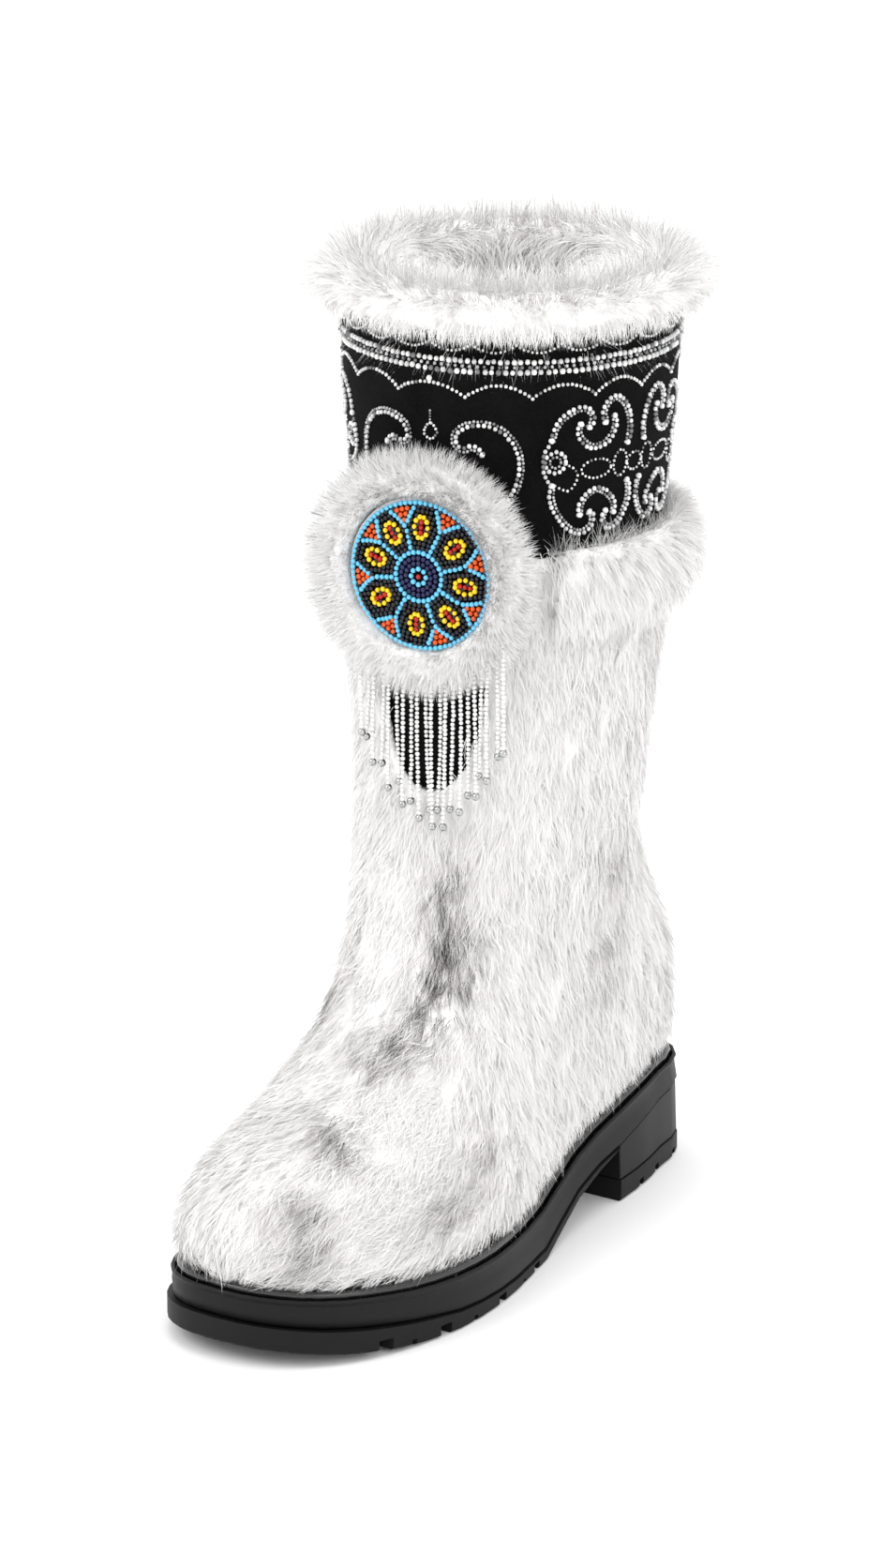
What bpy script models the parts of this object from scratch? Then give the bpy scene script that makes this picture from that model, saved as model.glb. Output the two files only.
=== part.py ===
"""Left fur boot: lug sole, furred upper, suede shaft, fur collar and beaded medallion."""

import math

import bmesh
import bpy
import numpy as np
from mathutils import Matrix, Vector

# Driving sizes in metres. The origin is on the floor under the middle of the heel,
# the toe points along -Y, and +X is the outer side of this left boot.
SOLE_LENGTH = 0.283
BALL_WIDTH = 0.105
HEEL_BACK = 0.040
HEEL_LENGTH = 0.070
HEEL_LIFT = 0.0088
SHANK_RISE = 0.022
TOE_SPRING = 0.0078
TREAD = 0.0094
MIDSOLE = 0.0145
MIDSOLE_LIP = 0.0027
TOE_LEDGE = 0.0018
WELT_TOP = 0.0025
WELT_WIDTH = 0.0094
INSOLE = 0.0042

# The furred hide with its lining and dense pile, and the suede with its lining.
FUR_WALL = 0.0070
SUEDE_WALL = 0.0026
FIT_GAP = 0.0003

# Heights of the upper and the shaft above the floor.
FUR_TOP = 0.277
SUEDE_RISE = 0.0860
SUEDE_TOP = FUR_TOP + SUEDE_RISE
SHAFT_WIDTH = 0.1424

# Height of the hide's lower edge above the midsole's lip, at the heel and at the toe.
EDGE_BACK = 0.003942
EDGE_TOE = 0.003780

# Front notch in the fur and the medallion, each turned from the -Y direction towards +X.
FRONT_TURN = math.radians(8.0)
NOTCH_TURN = math.radians(5.0)
NOTCH_HALF = 0.0235
NOTCH_BOTTOM = FUR_TOP - 0.0930
NOTCH_SHOULDER = FUR_TOP - 0.0450

# Turned fur roll at the top edge, and the fur ring of the collar.
CUFF_OUT = 0.0080
CUFF_DROP = 0.030
CUFF_RISE = 0.0035
CUFF_END = math.radians(44.0)
CUFF_FULL = math.radians(85.0)
CUFF_LOCK = 0.0045
COLLAR_OUT = 0.0125
COLLAR_IN = 0.024
COLLAR_MIDDLE = SUEDE_TOP + 0.0050
COLLAR_RISE = 0.0090
COLLAR_DROP = 0.0100
COLLAR_LOCK = 0.0060

# Medallion: fur ring, backing disc and domed bead disc.
MEDAL_HEIGHT = FUR_TOP - 0.0080
MEDAL_RING_IN = 0.0310
MEDAL_RING_OUT = 0.0425
MEDAL_RING_FRONT = 0.0085
MEDAL_RING_BACK = 0.0100
MEDAL_LOCK = 0.0045
FRINGE_CLEAR = 0.016
BACKING_THICK = 0.0030
BEAD_DISC_RADIUS = 0.0290
BEAD_DISC_THICK = 0.0022
BEAD_DISC_DOME = 0.0024
BEAD_DISC_SHIFT = -0.0012

# Fringe of bead strings that hangs below the medallion.
FRINGE_STRINGS = 24
FRINGE_HALF = 0.0290
FRINGE_SHIFT = 0.0035
FRINGE_LOW = MEDAL_HEIGHT - 0.0985
FRINGE_SIDE_LIFT = 0.034
STRING_RADIUS = 0.0009
BALL_RADIUS = 0.0015
HEADER_THICK = 0.0022
HEADER_NEST = 0.0008
FRINGE_PLANE = 0.0066

# Plan and side view of the sole, from the back of the heel (share 0) to the toe tip
# (share 1). centre and half are shares of half the ball width. rise is a share of
# SHANK_RISE, spring of TOE_SPRING, tread of TREAD and midsole of MIDSOLE.
SOLE_COLUMNS = ("share", "centre", "half", "rise", "spring", "tread", "midsole")
SOLE_ROWS = (
    (0.000, -0.010, 0.590, 1.41, 0.00, 0.00, 0.76),
    (0.100, -0.030, 0.597, 1.33, 0.00, 0.00, 0.80),
    (0.180, 0.000, 0.652, 1.20, 0.00, 0.05, 0.90),
    (0.250, 0.000, 0.684, 0.99, 0.00, 0.12, 0.98),
    (0.300, 0.008, 0.692, 0.84, 0.00, 0.28, 0.94),
    (0.360, 0.015, 0.707, 0.60, 0.00, 0.38, 0.95),
    (0.410, 0.020, 0.740, 0.33, 0.00, 0.43, 1.01),
    (0.470, 0.030, 0.800, 0.00, 0.00, 0.48, 1.12),
    (0.530, 0.036, 0.868, 0.00, 0.00, 0.49, 1.04),
    (0.640, 0.040, 0.975, 0.00, 0.00, 0.60, 0.98),
    (0.725, 0.028, 1.000, 0.00, 0.00, 0.73, 0.96),
    (0.790, 0.000, 0.992, 0.00, 0.056, 0.90, 0.88),
    (0.883, -0.040, 0.962, 0.00, 0.33, 1.00, 0.83),
    (0.947, -0.075, 0.930, 0.00, 0.65, 1.00, 0.79),
    (1.000, -0.114, 0.875, 0.00, 1.00, 1.00, 0.75),
)
HEEL_ROUND = 0.125
TOE_ROUND = 0.300
ROUND_POWER = 2.6

# Sections of the furred form, from the feather edge up to the collar. back and front
# are shares of SOLE_LENGTH from the back of the sole, back_z and front_z are shares of
# FUR_TOP, with the first row kept at the hide's lower edge whatever FUR_TOP is. last
# says how far a section keeps the plan of the sole. Where it doesn't,
# half and centre are shares of SHAFT_WIDTH. sag says how far it follows the lip.
FORM_COLUMNS = ("share", "back", "back_z", "front", "front_z", "half", "centre",
                "last", "heel", "toe", "power", "sag", "inset")
FORM_ROWS = (
    (0, 0.012, 0.166, 0.984, 0.115, 0.345, 0.00, 1.00, 0.125, 0.30, 2.6, 1.00, 0.034),
    (1, -0.002, 0.202, 0.996, 0.152, 0.350, 0.00, 1.00, 0.125, 0.30, 2.6, 1.00, 0.020),
    (2, -0.007, 0.253, 0.986, 0.198, 0.345, 0.00, 1.00, 0.135, 0.31, 2.5, 0.90, 0.026),
    (3, -0.004, 0.304, 0.952, 0.238, 0.322, 0.00, 0.85, 0.150, 0.34, 2.4, 0.75, 0.050),
    (4, 0.005, 0.355, 0.889, 0.270, 0.300, 0.00, 0.65, 0.200, 0.38, 2.2, 0.55, 0.060),
    (5, 0.026, 0.406, 0.812, 0.300, 0.280, -0.01, 0.45, 0.260, 0.42, 2.1, 0.35, 0.060),
    (6, 0.048, 0.456, 0.738, 0.336, 0.276, -0.01, 0.25, 0.330, 0.45, 2.0, 0.20, 0.050),
    (7, 0.072, 0.506, 0.668, 0.386, 0.292, -0.025, 0.10, 0.400, 0.48, 2.0, 0.10, 0.020),
    (8, 0.090, 0.560, 0.612, 0.454, 0.318, -0.032, 0.00, 0.500, 0.50, 2.0, 0.00, 0.000),
    (9, 0.098, 0.622, 0.575, 0.545, 0.348, -0.036, 0.00, 0.500, 0.50, 2.0, 0.00, 0.000),
    (10, 0.102, 0.692, 0.555, 0.648, 0.376, -0.034, 0.00, 0.500, 0.50, 2.0, 0.00, 0.000),
    (11, 0.103, 0.769, 0.548, 0.747, 0.398, -0.034, 0.00, 0.500, 0.50, 2.0, 0.00, 0.000),
    (12, 0.099, 0.848, 0.547, 0.842, 0.422, -0.034, 0.00, 0.500, 0.50, 2.0, 0.00, 0.000),
    (13, 0.086, 1.000, 0.552, 1.000, 0.458, -0.030, 0.00, 0.500, 0.50, 2.0, 0.00, 0.000),
    (14, 0.070, 1.180, 0.560, 1.180, 0.491, -0.030, 0.00, 0.500, 0.50, 2.0, 0.00, 0.000),
    (15, 0.062, 1.395, 0.565, 1.395, 0.506, -0.030, 0.00, 0.500, 0.50, 2.0, 0.00, 0.000),
)
FUR_LEVELS = 13
SUEDE_LEVEL = 10

# Side notches of the tread: place as a share of SOLE_LENGTH, width and height in
# shares of TREAD, and whether the notch runs right across as a channel.
LUG_COLUMNS = ("place", "width", "height", "across")
TREAD_LUGS = (
    (0.866, 0.60, 0.48, True),
    (0.823, 0.22, 0.26, False),
    (0.767, 0.62, 0.48, True),
    (0.705, 0.22, 0.26, False),
    (0.636, 0.62, 0.42, True),
    (0.565, 0.22, 0.24, False),
    (0.519, 0.55, 0.38, True),
)
HEEL_LUGS = (
    (0.184, 0.42, 0.36, False),
    (0.127, 0.42, 0.36, False),
    (0.064, 0.42, 0.36, False),
)
NOTCH_DEPTH = 0.011
CHANNEL_SHARE = 0.6

STATIONS = 24
HEEL_STATIONS = 9
TREAD_STATIONS = 21
COLLAR_STATIONS = 15
EDGE_BEVEL = 0.0010
LIP_WIDTH = 0.0027
SEED = 7

BLACK_RUBBER = ("black_rubber", (0.012, 0.012, 0.013), 0.55)
BLACK_WELT = ("black_welt", (0.010, 0.010, 0.010), 0.25)
BLACK_SUEDE = ("black_suede", (0.010, 0.009, 0.010), 0.95)
WHITE_FUR = ("white_fur", (0.86, 0.85, 0.84), 0.95)
PALE_LEATHER = ("pale_leather", (0.80, 0.77, 0.74), 0.60)
NAVY_BEADS = ("navy_beads", (0.02, 0.03, 0.10), 0.30)
PEARL_BEADS = ("pearl_beads", (0.85, 0.86, 0.86), 0.30)
BOARD = ("insole_board", (0.62, 0.56, 0.50), 0.90)


def columns(names, rows):
    """Turn a table of rows into one array for each named column."""
    return {name: np.array(values, float) for name, values in zip(names, zip(*rows))}


SOLE = columns(SOLE_COLUMNS, SOLE_ROWS)
FORM = columns(FORM_COLUMNS, FORM_ROWS)


def through(table, column, share):
    """Read a column at any share, by a cubic that never overshoots its rows."""
    x = table["share"]
    y = table[column]
    step = np.diff(x)
    slope = np.diff(y) / step
    tangent = np.concatenate((slope[:1], np.zeros(len(slope) - 1), slope[-1:]))
    rising = slope[:-1] * slope[1:] > 0
    both = slope[:-1][rising] + slope[1:][rising]
    tangent[1:-1][rising] = 2 * slope[:-1][rising] * slope[1:][rising] / both
    left = np.clip(np.searchsorted(x, share) - 1, 0, len(step) - 1)
    t = (share - x[left]) / step[left]
    start = y[left] * (1 + 2 * t) * (1 - t) ** 2 + y[left + 1] * t * t * (3 - 2 * t)
    turn = tangent[left] * t * (1 - t) ** 2 - tangent[left + 1] * t * t * (1 - t)
    return start + step[left] * turn


def end_round(share, heel, toe, power):
    """Factor that closes a plan at both tips and is 1 between its round ends."""
    past = np.maximum((heel - share) / heel, (share - 1 + toe) / toe)
    return (1 - np.clip(past, 0, 1) ** power) ** (1 / power)


class Stations:
    """Shares along the foot, and the order of the ring that runs round both sides."""

    def __init__(self, share):
        count = len(share)
        self.share = share
        self.starts_at_heel = share[0] == 0
        self.ends_at_toe = share[-1] == 1
        last = count - 1 if self.ends_at_toe else count
        around = np.arange(last - 1, 0 if self.starts_at_heel else -1, -1)
        self.lateral = np.arange(count)
        self.medial = np.arange(count)
        self.medial[around] = count + np.arange(len(around))
        self.ring_share = np.concatenate((share, share[around]))
        self.side = np.concatenate((np.ones(count), -np.ones(len(around))))


def round_stations(count):
    """Stations from tip to tip, closer together towards both."""
    share = (1 - np.cos(np.linspace(0, math.pi, count))) / 2
    share[-1] = 1
    return Stations(share)


def heel_shares():
    breast = HEEL_LENGTH / SOLE_LENGTH
    return breast * (1 - np.cos(np.linspace(0, math.pi / 2, HEEL_STATIONS)))


def tread_shares():
    breast = HEEL_LENGTH / SOLE_LENGTH
    return breast + (1 - breast) * np.sin(np.linspace(0, math.pi / 2, TREAD_STATIONS))


def sole_stations():
    """Stations of the whole sole, which share the heel's and the tread's."""
    return Stations(np.concatenate((heel_shares(), tread_shares()[1:])))


def ground_z(share):
    return (SHANK_RISE * through(SOLE, "rise", share)
            + TOE_SPRING * through(SOLE, "spring", share))


def step_z(share):
    return ground_z(share) + TREAD * through(SOLE, "tread", share)


def lip_z(share):
    return step_z(share) + MIDSOLE * through(SOLE, "midsole", share)


def toe_ledge(share):
    """How far the midsole steps back behind the tread, which shows at the toe."""
    return TOE_LEDGE * np.clip((share - 0.70) / 0.2, 0, 1)


def sole_ring(stations, inset, height, lift=0.0):
    """Ring of points on the sole's outline, moved inwards by inset.

    height is a function of the share along the foot, or a plain height.
    """
    share = stations.ring_share
    half_ball = BALL_WIDTH / 2
    half = half_ball * through(SOLE, "half", share)
    half = half * end_round(share, HEEL_ROUND, TOE_ROUND, ROUND_POWER)
    x = half_ball * through(SOLE, "centre", share) + stations.side * half
    y = HEEL_BACK - SOLE_LENGTH * share
    plan = np.stack((x, y), axis=1)
    along = np.roll(plan, -1, axis=0) - np.roll(plan, 1, axis=0)
    outward = np.stack((-along[:, 1], along[:, 0]), axis=1)
    outward /= np.linalg.norm(outward, axis=1, keepdims=True)
    count = len(stations.share)
    if not stations.starts_at_heel:
        outward[[0, -1]] = ((1, 0), (-1, 0))
    if not stations.ends_at_toe:
        outward[[count - 1, count]] = ((1, 0), (-1, 0))
    plan = plan - outward * np.reshape(inset, (-1, 1))
    if callable(height):
        place = (HEEL_BACK - plan[:, 1]) / SOLE_LENGTH
        height = height(np.clip(place, 0, 1))
    return np.column_stack((plan, np.broadcast_to(height + lift, share.shape)))


def form_height(column, end, edge, level):
    """Height of the form at its back or front, stretched between its edge and FUR_TOP."""
    share = through(FORM, column, level)
    lowest = FORM[column][0]
    foot = lip_z(np.full(1, end))[0] + edge
    below = foot + (FUR_TOP - foot) * (share - lowest) / (1 - lowest)
    return np.where(share < 1, below, FUR_TOP * share)


def back_height(level):
    return form_height("back_z", 0.0, EDGE_BACK, level)


def front_height(level):
    return form_height("front_z", 1.0, EDGE_TOE, level)


def bare_ring(stations, level):
    """One section of the boot's outer form, at any level of the FORM table."""
    row = {name: through(FORM, name, np.array([level]))[0] for name in FORM_COLUMNS}
    share = stations.ring_share
    place = row["back"] + (row["front"] - row["back"]) * share
    on_sole = np.clip(place, 0, 1)
    half_ball = BALL_WIDTH / 2
    sole_half = half_ball * (through(SOLE, "half", on_sole) - row["inset"] * 2)
    half = row["last"] * sole_half + (1 - row["last"]) * SHAFT_WIDTH * row["half"]
    half = half * end_round(share, row["heel"], row["toe"], row["power"])
    centre = row["last"] * half_ball * through(SOLE, "centre", on_sole)
    centre = centre + (1 - row["last"]) * SHAFT_WIDTH * row["centre"]
    straight = lip_z(np.zeros(1)) * (1 - on_sole) + lip_z(np.ones(1)) * on_sole
    back = back_height(np.array([level]))
    z = back + (front_height(np.array([level])) - back) * share
    z = z + row["sag"] * (lip_z(on_sole) - straight)
    x = centre + stations.side * half
    y = HEEL_BACK - SOLE_LENGTH * place
    return np.column_stack((x, y, z))


def form_ring(stations, level, depth):
    """A section of the form, moved inwards along the surface normal by depth."""
    ring = bare_ring(stations, level)
    top = min(level + 0.05, FORM["share"][-1])
    low = max(level - 0.05, 0)
    up = bare_ring(stations, top) - bare_ring(stations, low)
    along = np.roll(ring, -1, axis=0) - np.roll(ring, 1, axis=0)
    outward = np.cross(up, along)
    outward /= np.linalg.norm(outward, axis=1, keepdims=True)
    return ring - depth * outward


def shaft_level(height):
    """Level of the FORM table at a height on the shaft, where sections are flat."""
    levels = np.linspace(9, len(FORM_ROWS) - 1, 161)
    heights = (back_height(levels) + front_height(levels)) / 2
    return float(np.interp(height, heights, levels))


def shaft_centre(height):
    """Middle of the shaft in plan at a height."""
    level = np.array([shaft_level(height)])
    back = through(FORM, "back", level)[0]
    front = through(FORM, "front", level)[0]
    x = SHAFT_WIDTH * through(FORM, "centre", level)[0]
    return Vector((x, HEEL_BACK - SOLE_LENGTH * (back + front) / 2, height))


def material(name, colour, roughness):
    made = bpy.data.materials.get(name) or bpy.data.materials.new(name)
    made.use_nodes = True
    shader = made.node_tree.nodes["Principled BSDF"]
    shader.inputs["Base Color"].default_value = (*colour, 1.0)
    shader.inputs["Roughness"].default_value = roughness
    shader.inputs["Metallic"].default_value = 0.0
    return made


def finish(bm, name, look, smooth_angle=40.0):
    """Turn a bmesh into a named object with its material."""
    bmesh.ops.recalc_face_normals(bm, faces=bm.faces)
    mesh = bpy.data.meshes.new(name)
    bm.to_mesh(mesh)
    bm.free()
    mesh.shade_smooth()
    mesh.set_sharp_from_angle(angle=math.radians(smooth_angle))
    thing = bpy.data.objects.new(name, mesh)
    if look is None:
        CUTTERS.objects.link(thing)
        thing.hide_render = True
        thing.display_type = "WIRE"
    else:
        BOOT.objects.link(thing)
        mesh.materials.append(material(*look))
    return thing


def add_rings(bm, rings):
    """Join rings of equal size with quads, and give back their vertices."""
    made = [[bm.verts.new(point) for point in ring] for ring in rings]
    for low, high in zip(made, made[1:]):
        for i, _ in enumerate(low):
            j = (i + 1) % len(low)
            bm.faces.new((low[i], low[j], high[j], high[i]))
    return made


def cap_across(bm, stations, ring):
    """Close a ring with faces that run across from the outer to the inner side."""
    lateral = [ring[i] for i in stations.lateral]
    medial = [ring[i] for i in stations.medial]
    for i in range(len(lateral) - 1):
        corners = [lateral[i], lateral[i + 1], medial[i + 1], medial[i]]
        distinct = list(dict.fromkeys(corners))
        bm.faces.new(distinct)


def slab(name, stations, rings, look):
    """Closed solid from rings that share stations, capped at both ends."""
    bm = bmesh.new()
    made = add_rings(bm, rings)
    cap_across(bm, stations, made[0])
    cap_across(bm, stations, made[-1])
    return finish(bm, name, look)


def hoop(name, rings, look):
    """Closed hoop: rings round a section, with the last joined to the first."""
    bm = bmesh.new()
    made = add_rings(bm, rings)
    last = made[-1]
    first = made[0]
    for i, _ in enumerate(last):
        j = (i + 1) % len(last)
        bm.faces.new((last[i], last[j], first[j], first[i]))
    return finish(bm, name, look)


def cut(thing, cutter):
    """Take the cutter's volume away from a piece."""
    modifier = thing.modifiers.new(cutter.name, "BOOLEAN")
    modifier.operation = "DIFFERENCE"
    modifier.solver = "EXACT"
    modifier.object = cutter


def add_box(bm, middle, size, turn=0.0):
    """Add a box with its middle and size, turned about Z."""
    place = Matrix.Translation(middle) @ Matrix.Rotation(turn, 4, "Z")
    bmesh.ops.create_cube(bm, size=1.0, matrix=place @ Matrix.Diagonal((*size, 1.0)))


def grow_locks(bm, faces, length, lean, rng):
    """Draw a tapered lock of fur out of each face, leaning by the vector lean."""
    grown = bmesh.ops.extrude_discrete_faces(bm, faces=faces)["faces"]
    for face in grown:
        middle = face.calc_center_median()
        way = (face.normal + lean).normalized()
        reach = length * rng.uniform(0.55, 1.0)
        for vert in face.verts:
            vert.co = middle + (vert.co - middle) * 0.30 + way * reach


def lug_boxes(name, lugs, across):
    """Cutter for the side notches of a tread, or for the channels right across it."""
    bm = bmesh.new()
    half_ball = BALL_WIDTH / 2
    for row in lugs:
        lug = dict(zip(LUG_COLUMNS, row))
        share = np.array([lug["place"]])
        y = HEEL_BACK - SOLE_LENGTH * lug["place"]
        ground = float(ground_z(share)[0]) if lugs is TREAD_LUGS else 0.0
        half = half_ball * through(SOLE, "half", share)
        half = float((half * end_round(share, HEEL_ROUND, TOE_ROUND, ROUND_POWER))[0])
        centre = half_ball * float(through(SOLE, "centre", share)[0])
        low = ground - TREAD
        long = TREAD * lug["width"]
        if across and lug["across"]:
            top = ground + TREAD * lug["height"] * CHANNEL_SHARE
            size = (2 * half + NOTCH_DEPTH, long * 0.8, top - low)
            add_box(bm, (centre, y, (top + low) / 2), size)
        elif not across:
            top = ground + TREAD * lug["height"]
            for side in (-1, 1):
                x = centre + side * half
                add_box(bm, (x, y, (top + low) / 2), (2 * NOTCH_DEPTH, long, top - low))
    return finish(bm, name, None)


def make_outsole():
    share = tread_shares()
    share[0] += FIT_GAP / SOLE_LENGTH
    stations = Stations(share)
    ledge = toe_ledge(stations.ring_share) / 2
    rings = (
        sole_ring(stations, EDGE_BEVEL, ground_z),
        sole_ring(stations, 0, ground_z, EDGE_BEVEL * 0.8),
        sole_ring(stations, 0, step_z, -FIT_GAP),
        sole_ring(stations, ledge + EDGE_BEVEL / 2, step_z, -FIT_GAP / 2),
    )
    outsole = slab("outsole", stations, rings, BLACK_RUBBER)
    cut(outsole, lug_boxes("tread_notches", TREAD_LUGS, False))
    cut(outsole, lug_boxes("tread_channels", TREAD_LUGS, True))


def make_heel():
    stations = Stations(heel_shares())
    rings = (
        sole_ring(stations, EDGE_BEVEL, 0.0),
        sole_ring(stations, 0, EDGE_BEVEL),
        sole_ring(stations, 0, HEEL_LIFT - EDGE_BEVEL / 4),
        sole_ring(stations, EDGE_BEVEL / 4, HEEL_LIFT),
    )
    lift = slab("heel_lift", stations, rings, BLACK_RUBBER)
    cut(lift, lug_boxes("heel_notches", HEEL_LUGS, False))
    rings = (
        sole_ring(stations, EDGE_BEVEL * 0.4, HEEL_LIFT + FIT_GAP),
        sole_ring(stations, EDGE_BEVEL, step_z, -FIT_GAP / 2),
    )
    slab("heel_block", stations, rings, BLACK_RUBBER)


def lip_inset(share):
    """Inset of the inner face of the midsole's lip."""
    return toe_ledge(share) * 0.4 + LIP_WIDTH


def make_midsole():
    stations = sole_stations()
    share = stations.ring_share
    base = toe_ledge(share)
    side = base * 0.4 + EDGE_BEVEL * 0.6
    rings = (
        sole_ring(stations, base + EDGE_BEVEL, step_z, FIT_GAP / 2),
        sole_ring(stations, base + EDGE_BEVEL * 0.4, between_step_and_lip(0.10)),
        sole_ring(stations, side + EDGE_BEVEL * 0.5, between_step_and_lip(0.50)),
        sole_ring(stations, side + EDGE_BEVEL * 0.9, between_step_and_lip(0.78)),
        sole_ring(stations, side, lip_z, -EDGE_BEVEL),
        sole_ring(stations, side + EDGE_BEVEL * 0.6, lip_z),
        sole_ring(stations, lip_inset(share) - FIT_GAP, lip_z, -EDGE_BEVEL * 0.3),
        sole_ring(stations, lip_inset(share), lip_z, -MIDSOLE_LIP),
    )
    slab("midsole", stations, rings, BLACK_RUBBER)


def between_step_and_lip(part):
    """Height function at a part of the way up the midsole's side."""
    return lambda share: step_z(share) * (1 - part) + lip_z(share) * part


def make_welt():
    stations = sole_stations()
    outer = lip_inset(stations.ring_share) + FIT_GAP
    low = 1.7 * FIT_GAP - MIDSOLE_LIP
    rings = (
        sole_ring(stations, outer, lip_z, low),
        sole_ring(stations, outer, lip_z, WELT_TOP - EDGE_BEVEL),
        sole_ring(stations, outer + EDGE_BEVEL, lip_z, WELT_TOP),
        sole_ring(stations, outer + WELT_WIDTH, lip_z, WELT_TOP),
        sole_ring(stations, outer + WELT_WIDTH, lip_z, low),
    )
    hoop("welt", rings, BLACK_WELT)


def make_insole():
    stations = sole_stations()
    edge = lip_inset(stations.ring_share) + 2 * FIT_GAP + WELT_WIDTH
    low = 1.7 * FIT_GAP - MIDSOLE_LIP
    rings = (
        sole_ring(stations, edge, lip_z, low),
        sole_ring(stations, edge, lip_z, low + INSOLE * 0.8),
        sole_ring(stations, edge + INSOLE * 0.2, lip_z, low + INSOLE),
    )
    slab("insole", stations, rings, BOARD)


def notch_cutter():
    """Upright prism with a half-elliptic bottom that opens the fur in front."""
    bm = bmesh.new()
    angles = np.linspace(math.pi, 2 * math.pi, 13)
    tall = NOTCH_SHOULDER - NOTCH_BOTTOM
    outline = [(NOTCH_HALF * math.cos(a), NOTCH_SHOULDER + tall * math.sin(a)) for a in angles]
    outline += [(NOTCH_HALF, FUR_TOP + 0.02), (-NOTCH_HALF, FUR_TOP + 0.02)]
    centre = shaft_centre(NOTCH_SHOULDER)
    turn = Matrix.Rotation(NOTCH_TURN, 3, "Z")
    rings = []
    for reach in (-0.040, -0.100):
        rings.append([Vector((centre.x, centre.y, 0)) + turn @ Vector((x, reach, z))
                      for x, z in outline])
    made = add_rings(bm, rings)
    bm.faces.new(made[0])
    bm.faces.new(made[1])
    return finish(bm, "front_notch", None)


def make_upper():
    """Furred hide: an open loft from feather edge to fur top, thickened inwards."""
    stations = round_stations(STATIONS)
    levels = np.arange(FUR_LEVELS + 1)
    bm = bmesh.new()
    add_rings(bm, [form_ring(stations, float(level), 0.0) for level in levels])
    upper = finish(bm, "upper", WHITE_FUR)
    wall = upper.modifiers.new("hide_and_pile", "SOLIDIFY")
    wall.thickness = FUR_WALL
    wall.offset = -1
    cut(upper, notch_cutter())


def make_suede_shaft():
    """Suede tube that stands inside the fur and carries the collar."""
    stations = round_stations(STATIONS)
    levels = [float(level) for level in range(SUEDE_LEVEL, len(FORM_ROWS) - 1)]
    levels.append(shaft_level(SUEDE_TOP))
    outer = [form_ring(stations, level, FUR_WALL + FIT_GAP) for level in levels]
    inside = FUR_WALL + FIT_GAP + SUEDE_WALL
    inner = [form_ring(stations, level, inside) for level in reversed(levels)]
    hoop("suede_shaft", outer + inner, BLACK_SUEDE)


def make_fur_cuff():
    """Turned-over roll along the fur's top edge, open in front behind the medallion."""
    stations = round_stations(STATIONS)
    inner = FIT_GAP - FUR_WALL
    low = FUR_TOP - CUFF_DROP
    section = (
        (FIT_GAP * 2, 0, low),
        (FIT_GAP * 2, 0, FUR_TOP + FIT_GAP),
        (inner, 0, FUR_TOP + FIT_GAP),
        (inner, 0, FUR_TOP + CUFF_RISE),
        (FIT_GAP * 2, 0.20, FUR_TOP + CUFF_RISE * 0.8),
        (FIT_GAP * 2, 0.55, FUR_TOP - CUFF_DROP * 0.12),
        (FIT_GAP * 2, 0.95, FUR_TOP - CUFF_DROP * 0.42),
        (FIT_GAP * 2, 0.90, FUR_TOP - CUFF_DROP * 0.75),
        (FIT_GAP * 2, 0.30, low),
    )
    centre = np.array(shaft_centre(FUR_TOP))
    flat = form_ring(stations, shaft_level(FUR_TOP), 0.0) - centre
    angle = np.mod(np.arctan2(flat[:, 0], -flat[:, 1]) - FRONT_TURN, 2 * math.pi)
    aside = np.minimum(angle, 2 * math.pi - angle)
    fullness = np.clip((aside - CUFF_END) / (CUFF_FULL - CUFF_END), 0, 1)
    fullness = 0.35 + 0.65 * fullness
    grid = []
    for base, part, height in section:
        out = base + part * CUFF_OUT * fullness
        grid.append(form_ring(stations, shaft_level(height), -np.reshape(out, (-1, 1))))
    grid = np.array(grid)
    kept = [i for i in np.argsort(angle) if aside[i] > CUFF_END]
    bm = bmesh.new()
    strips = [[bm.verts.new(grid[row, i]) for row in range(len(section))] for i in kept]
    outer = []
    for left, right in zip(strips, strips[1:]):
        for i, _ in enumerate(left):
            j = (i + 1) % len(left)
            face = bm.faces.new((left[i], left[j], right[j], right[i]))
            if 4 <= i <= 6:
                outer.append(face)
    # Both ends are filled from the corner that sits over the fur's edge.
    for end in (strips[0], strips[-1]):
        for i in range(2, len(end)):
            bm.faces.new((end[1], end[i], end[(i + 1) % len(end)]))
    bmesh.ops.recalc_face_normals(bm, faces=bm.faces)
    rng = np.random.default_rng(SEED)
    picked = [face for face in outer if rng.random() < 0.75]
    grow_locks(bm, picked, CUFF_LOCK, Vector((0, 0, -0.55)), rng)
    finish(bm, "fur_cuff", WHITE_FUR)


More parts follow.
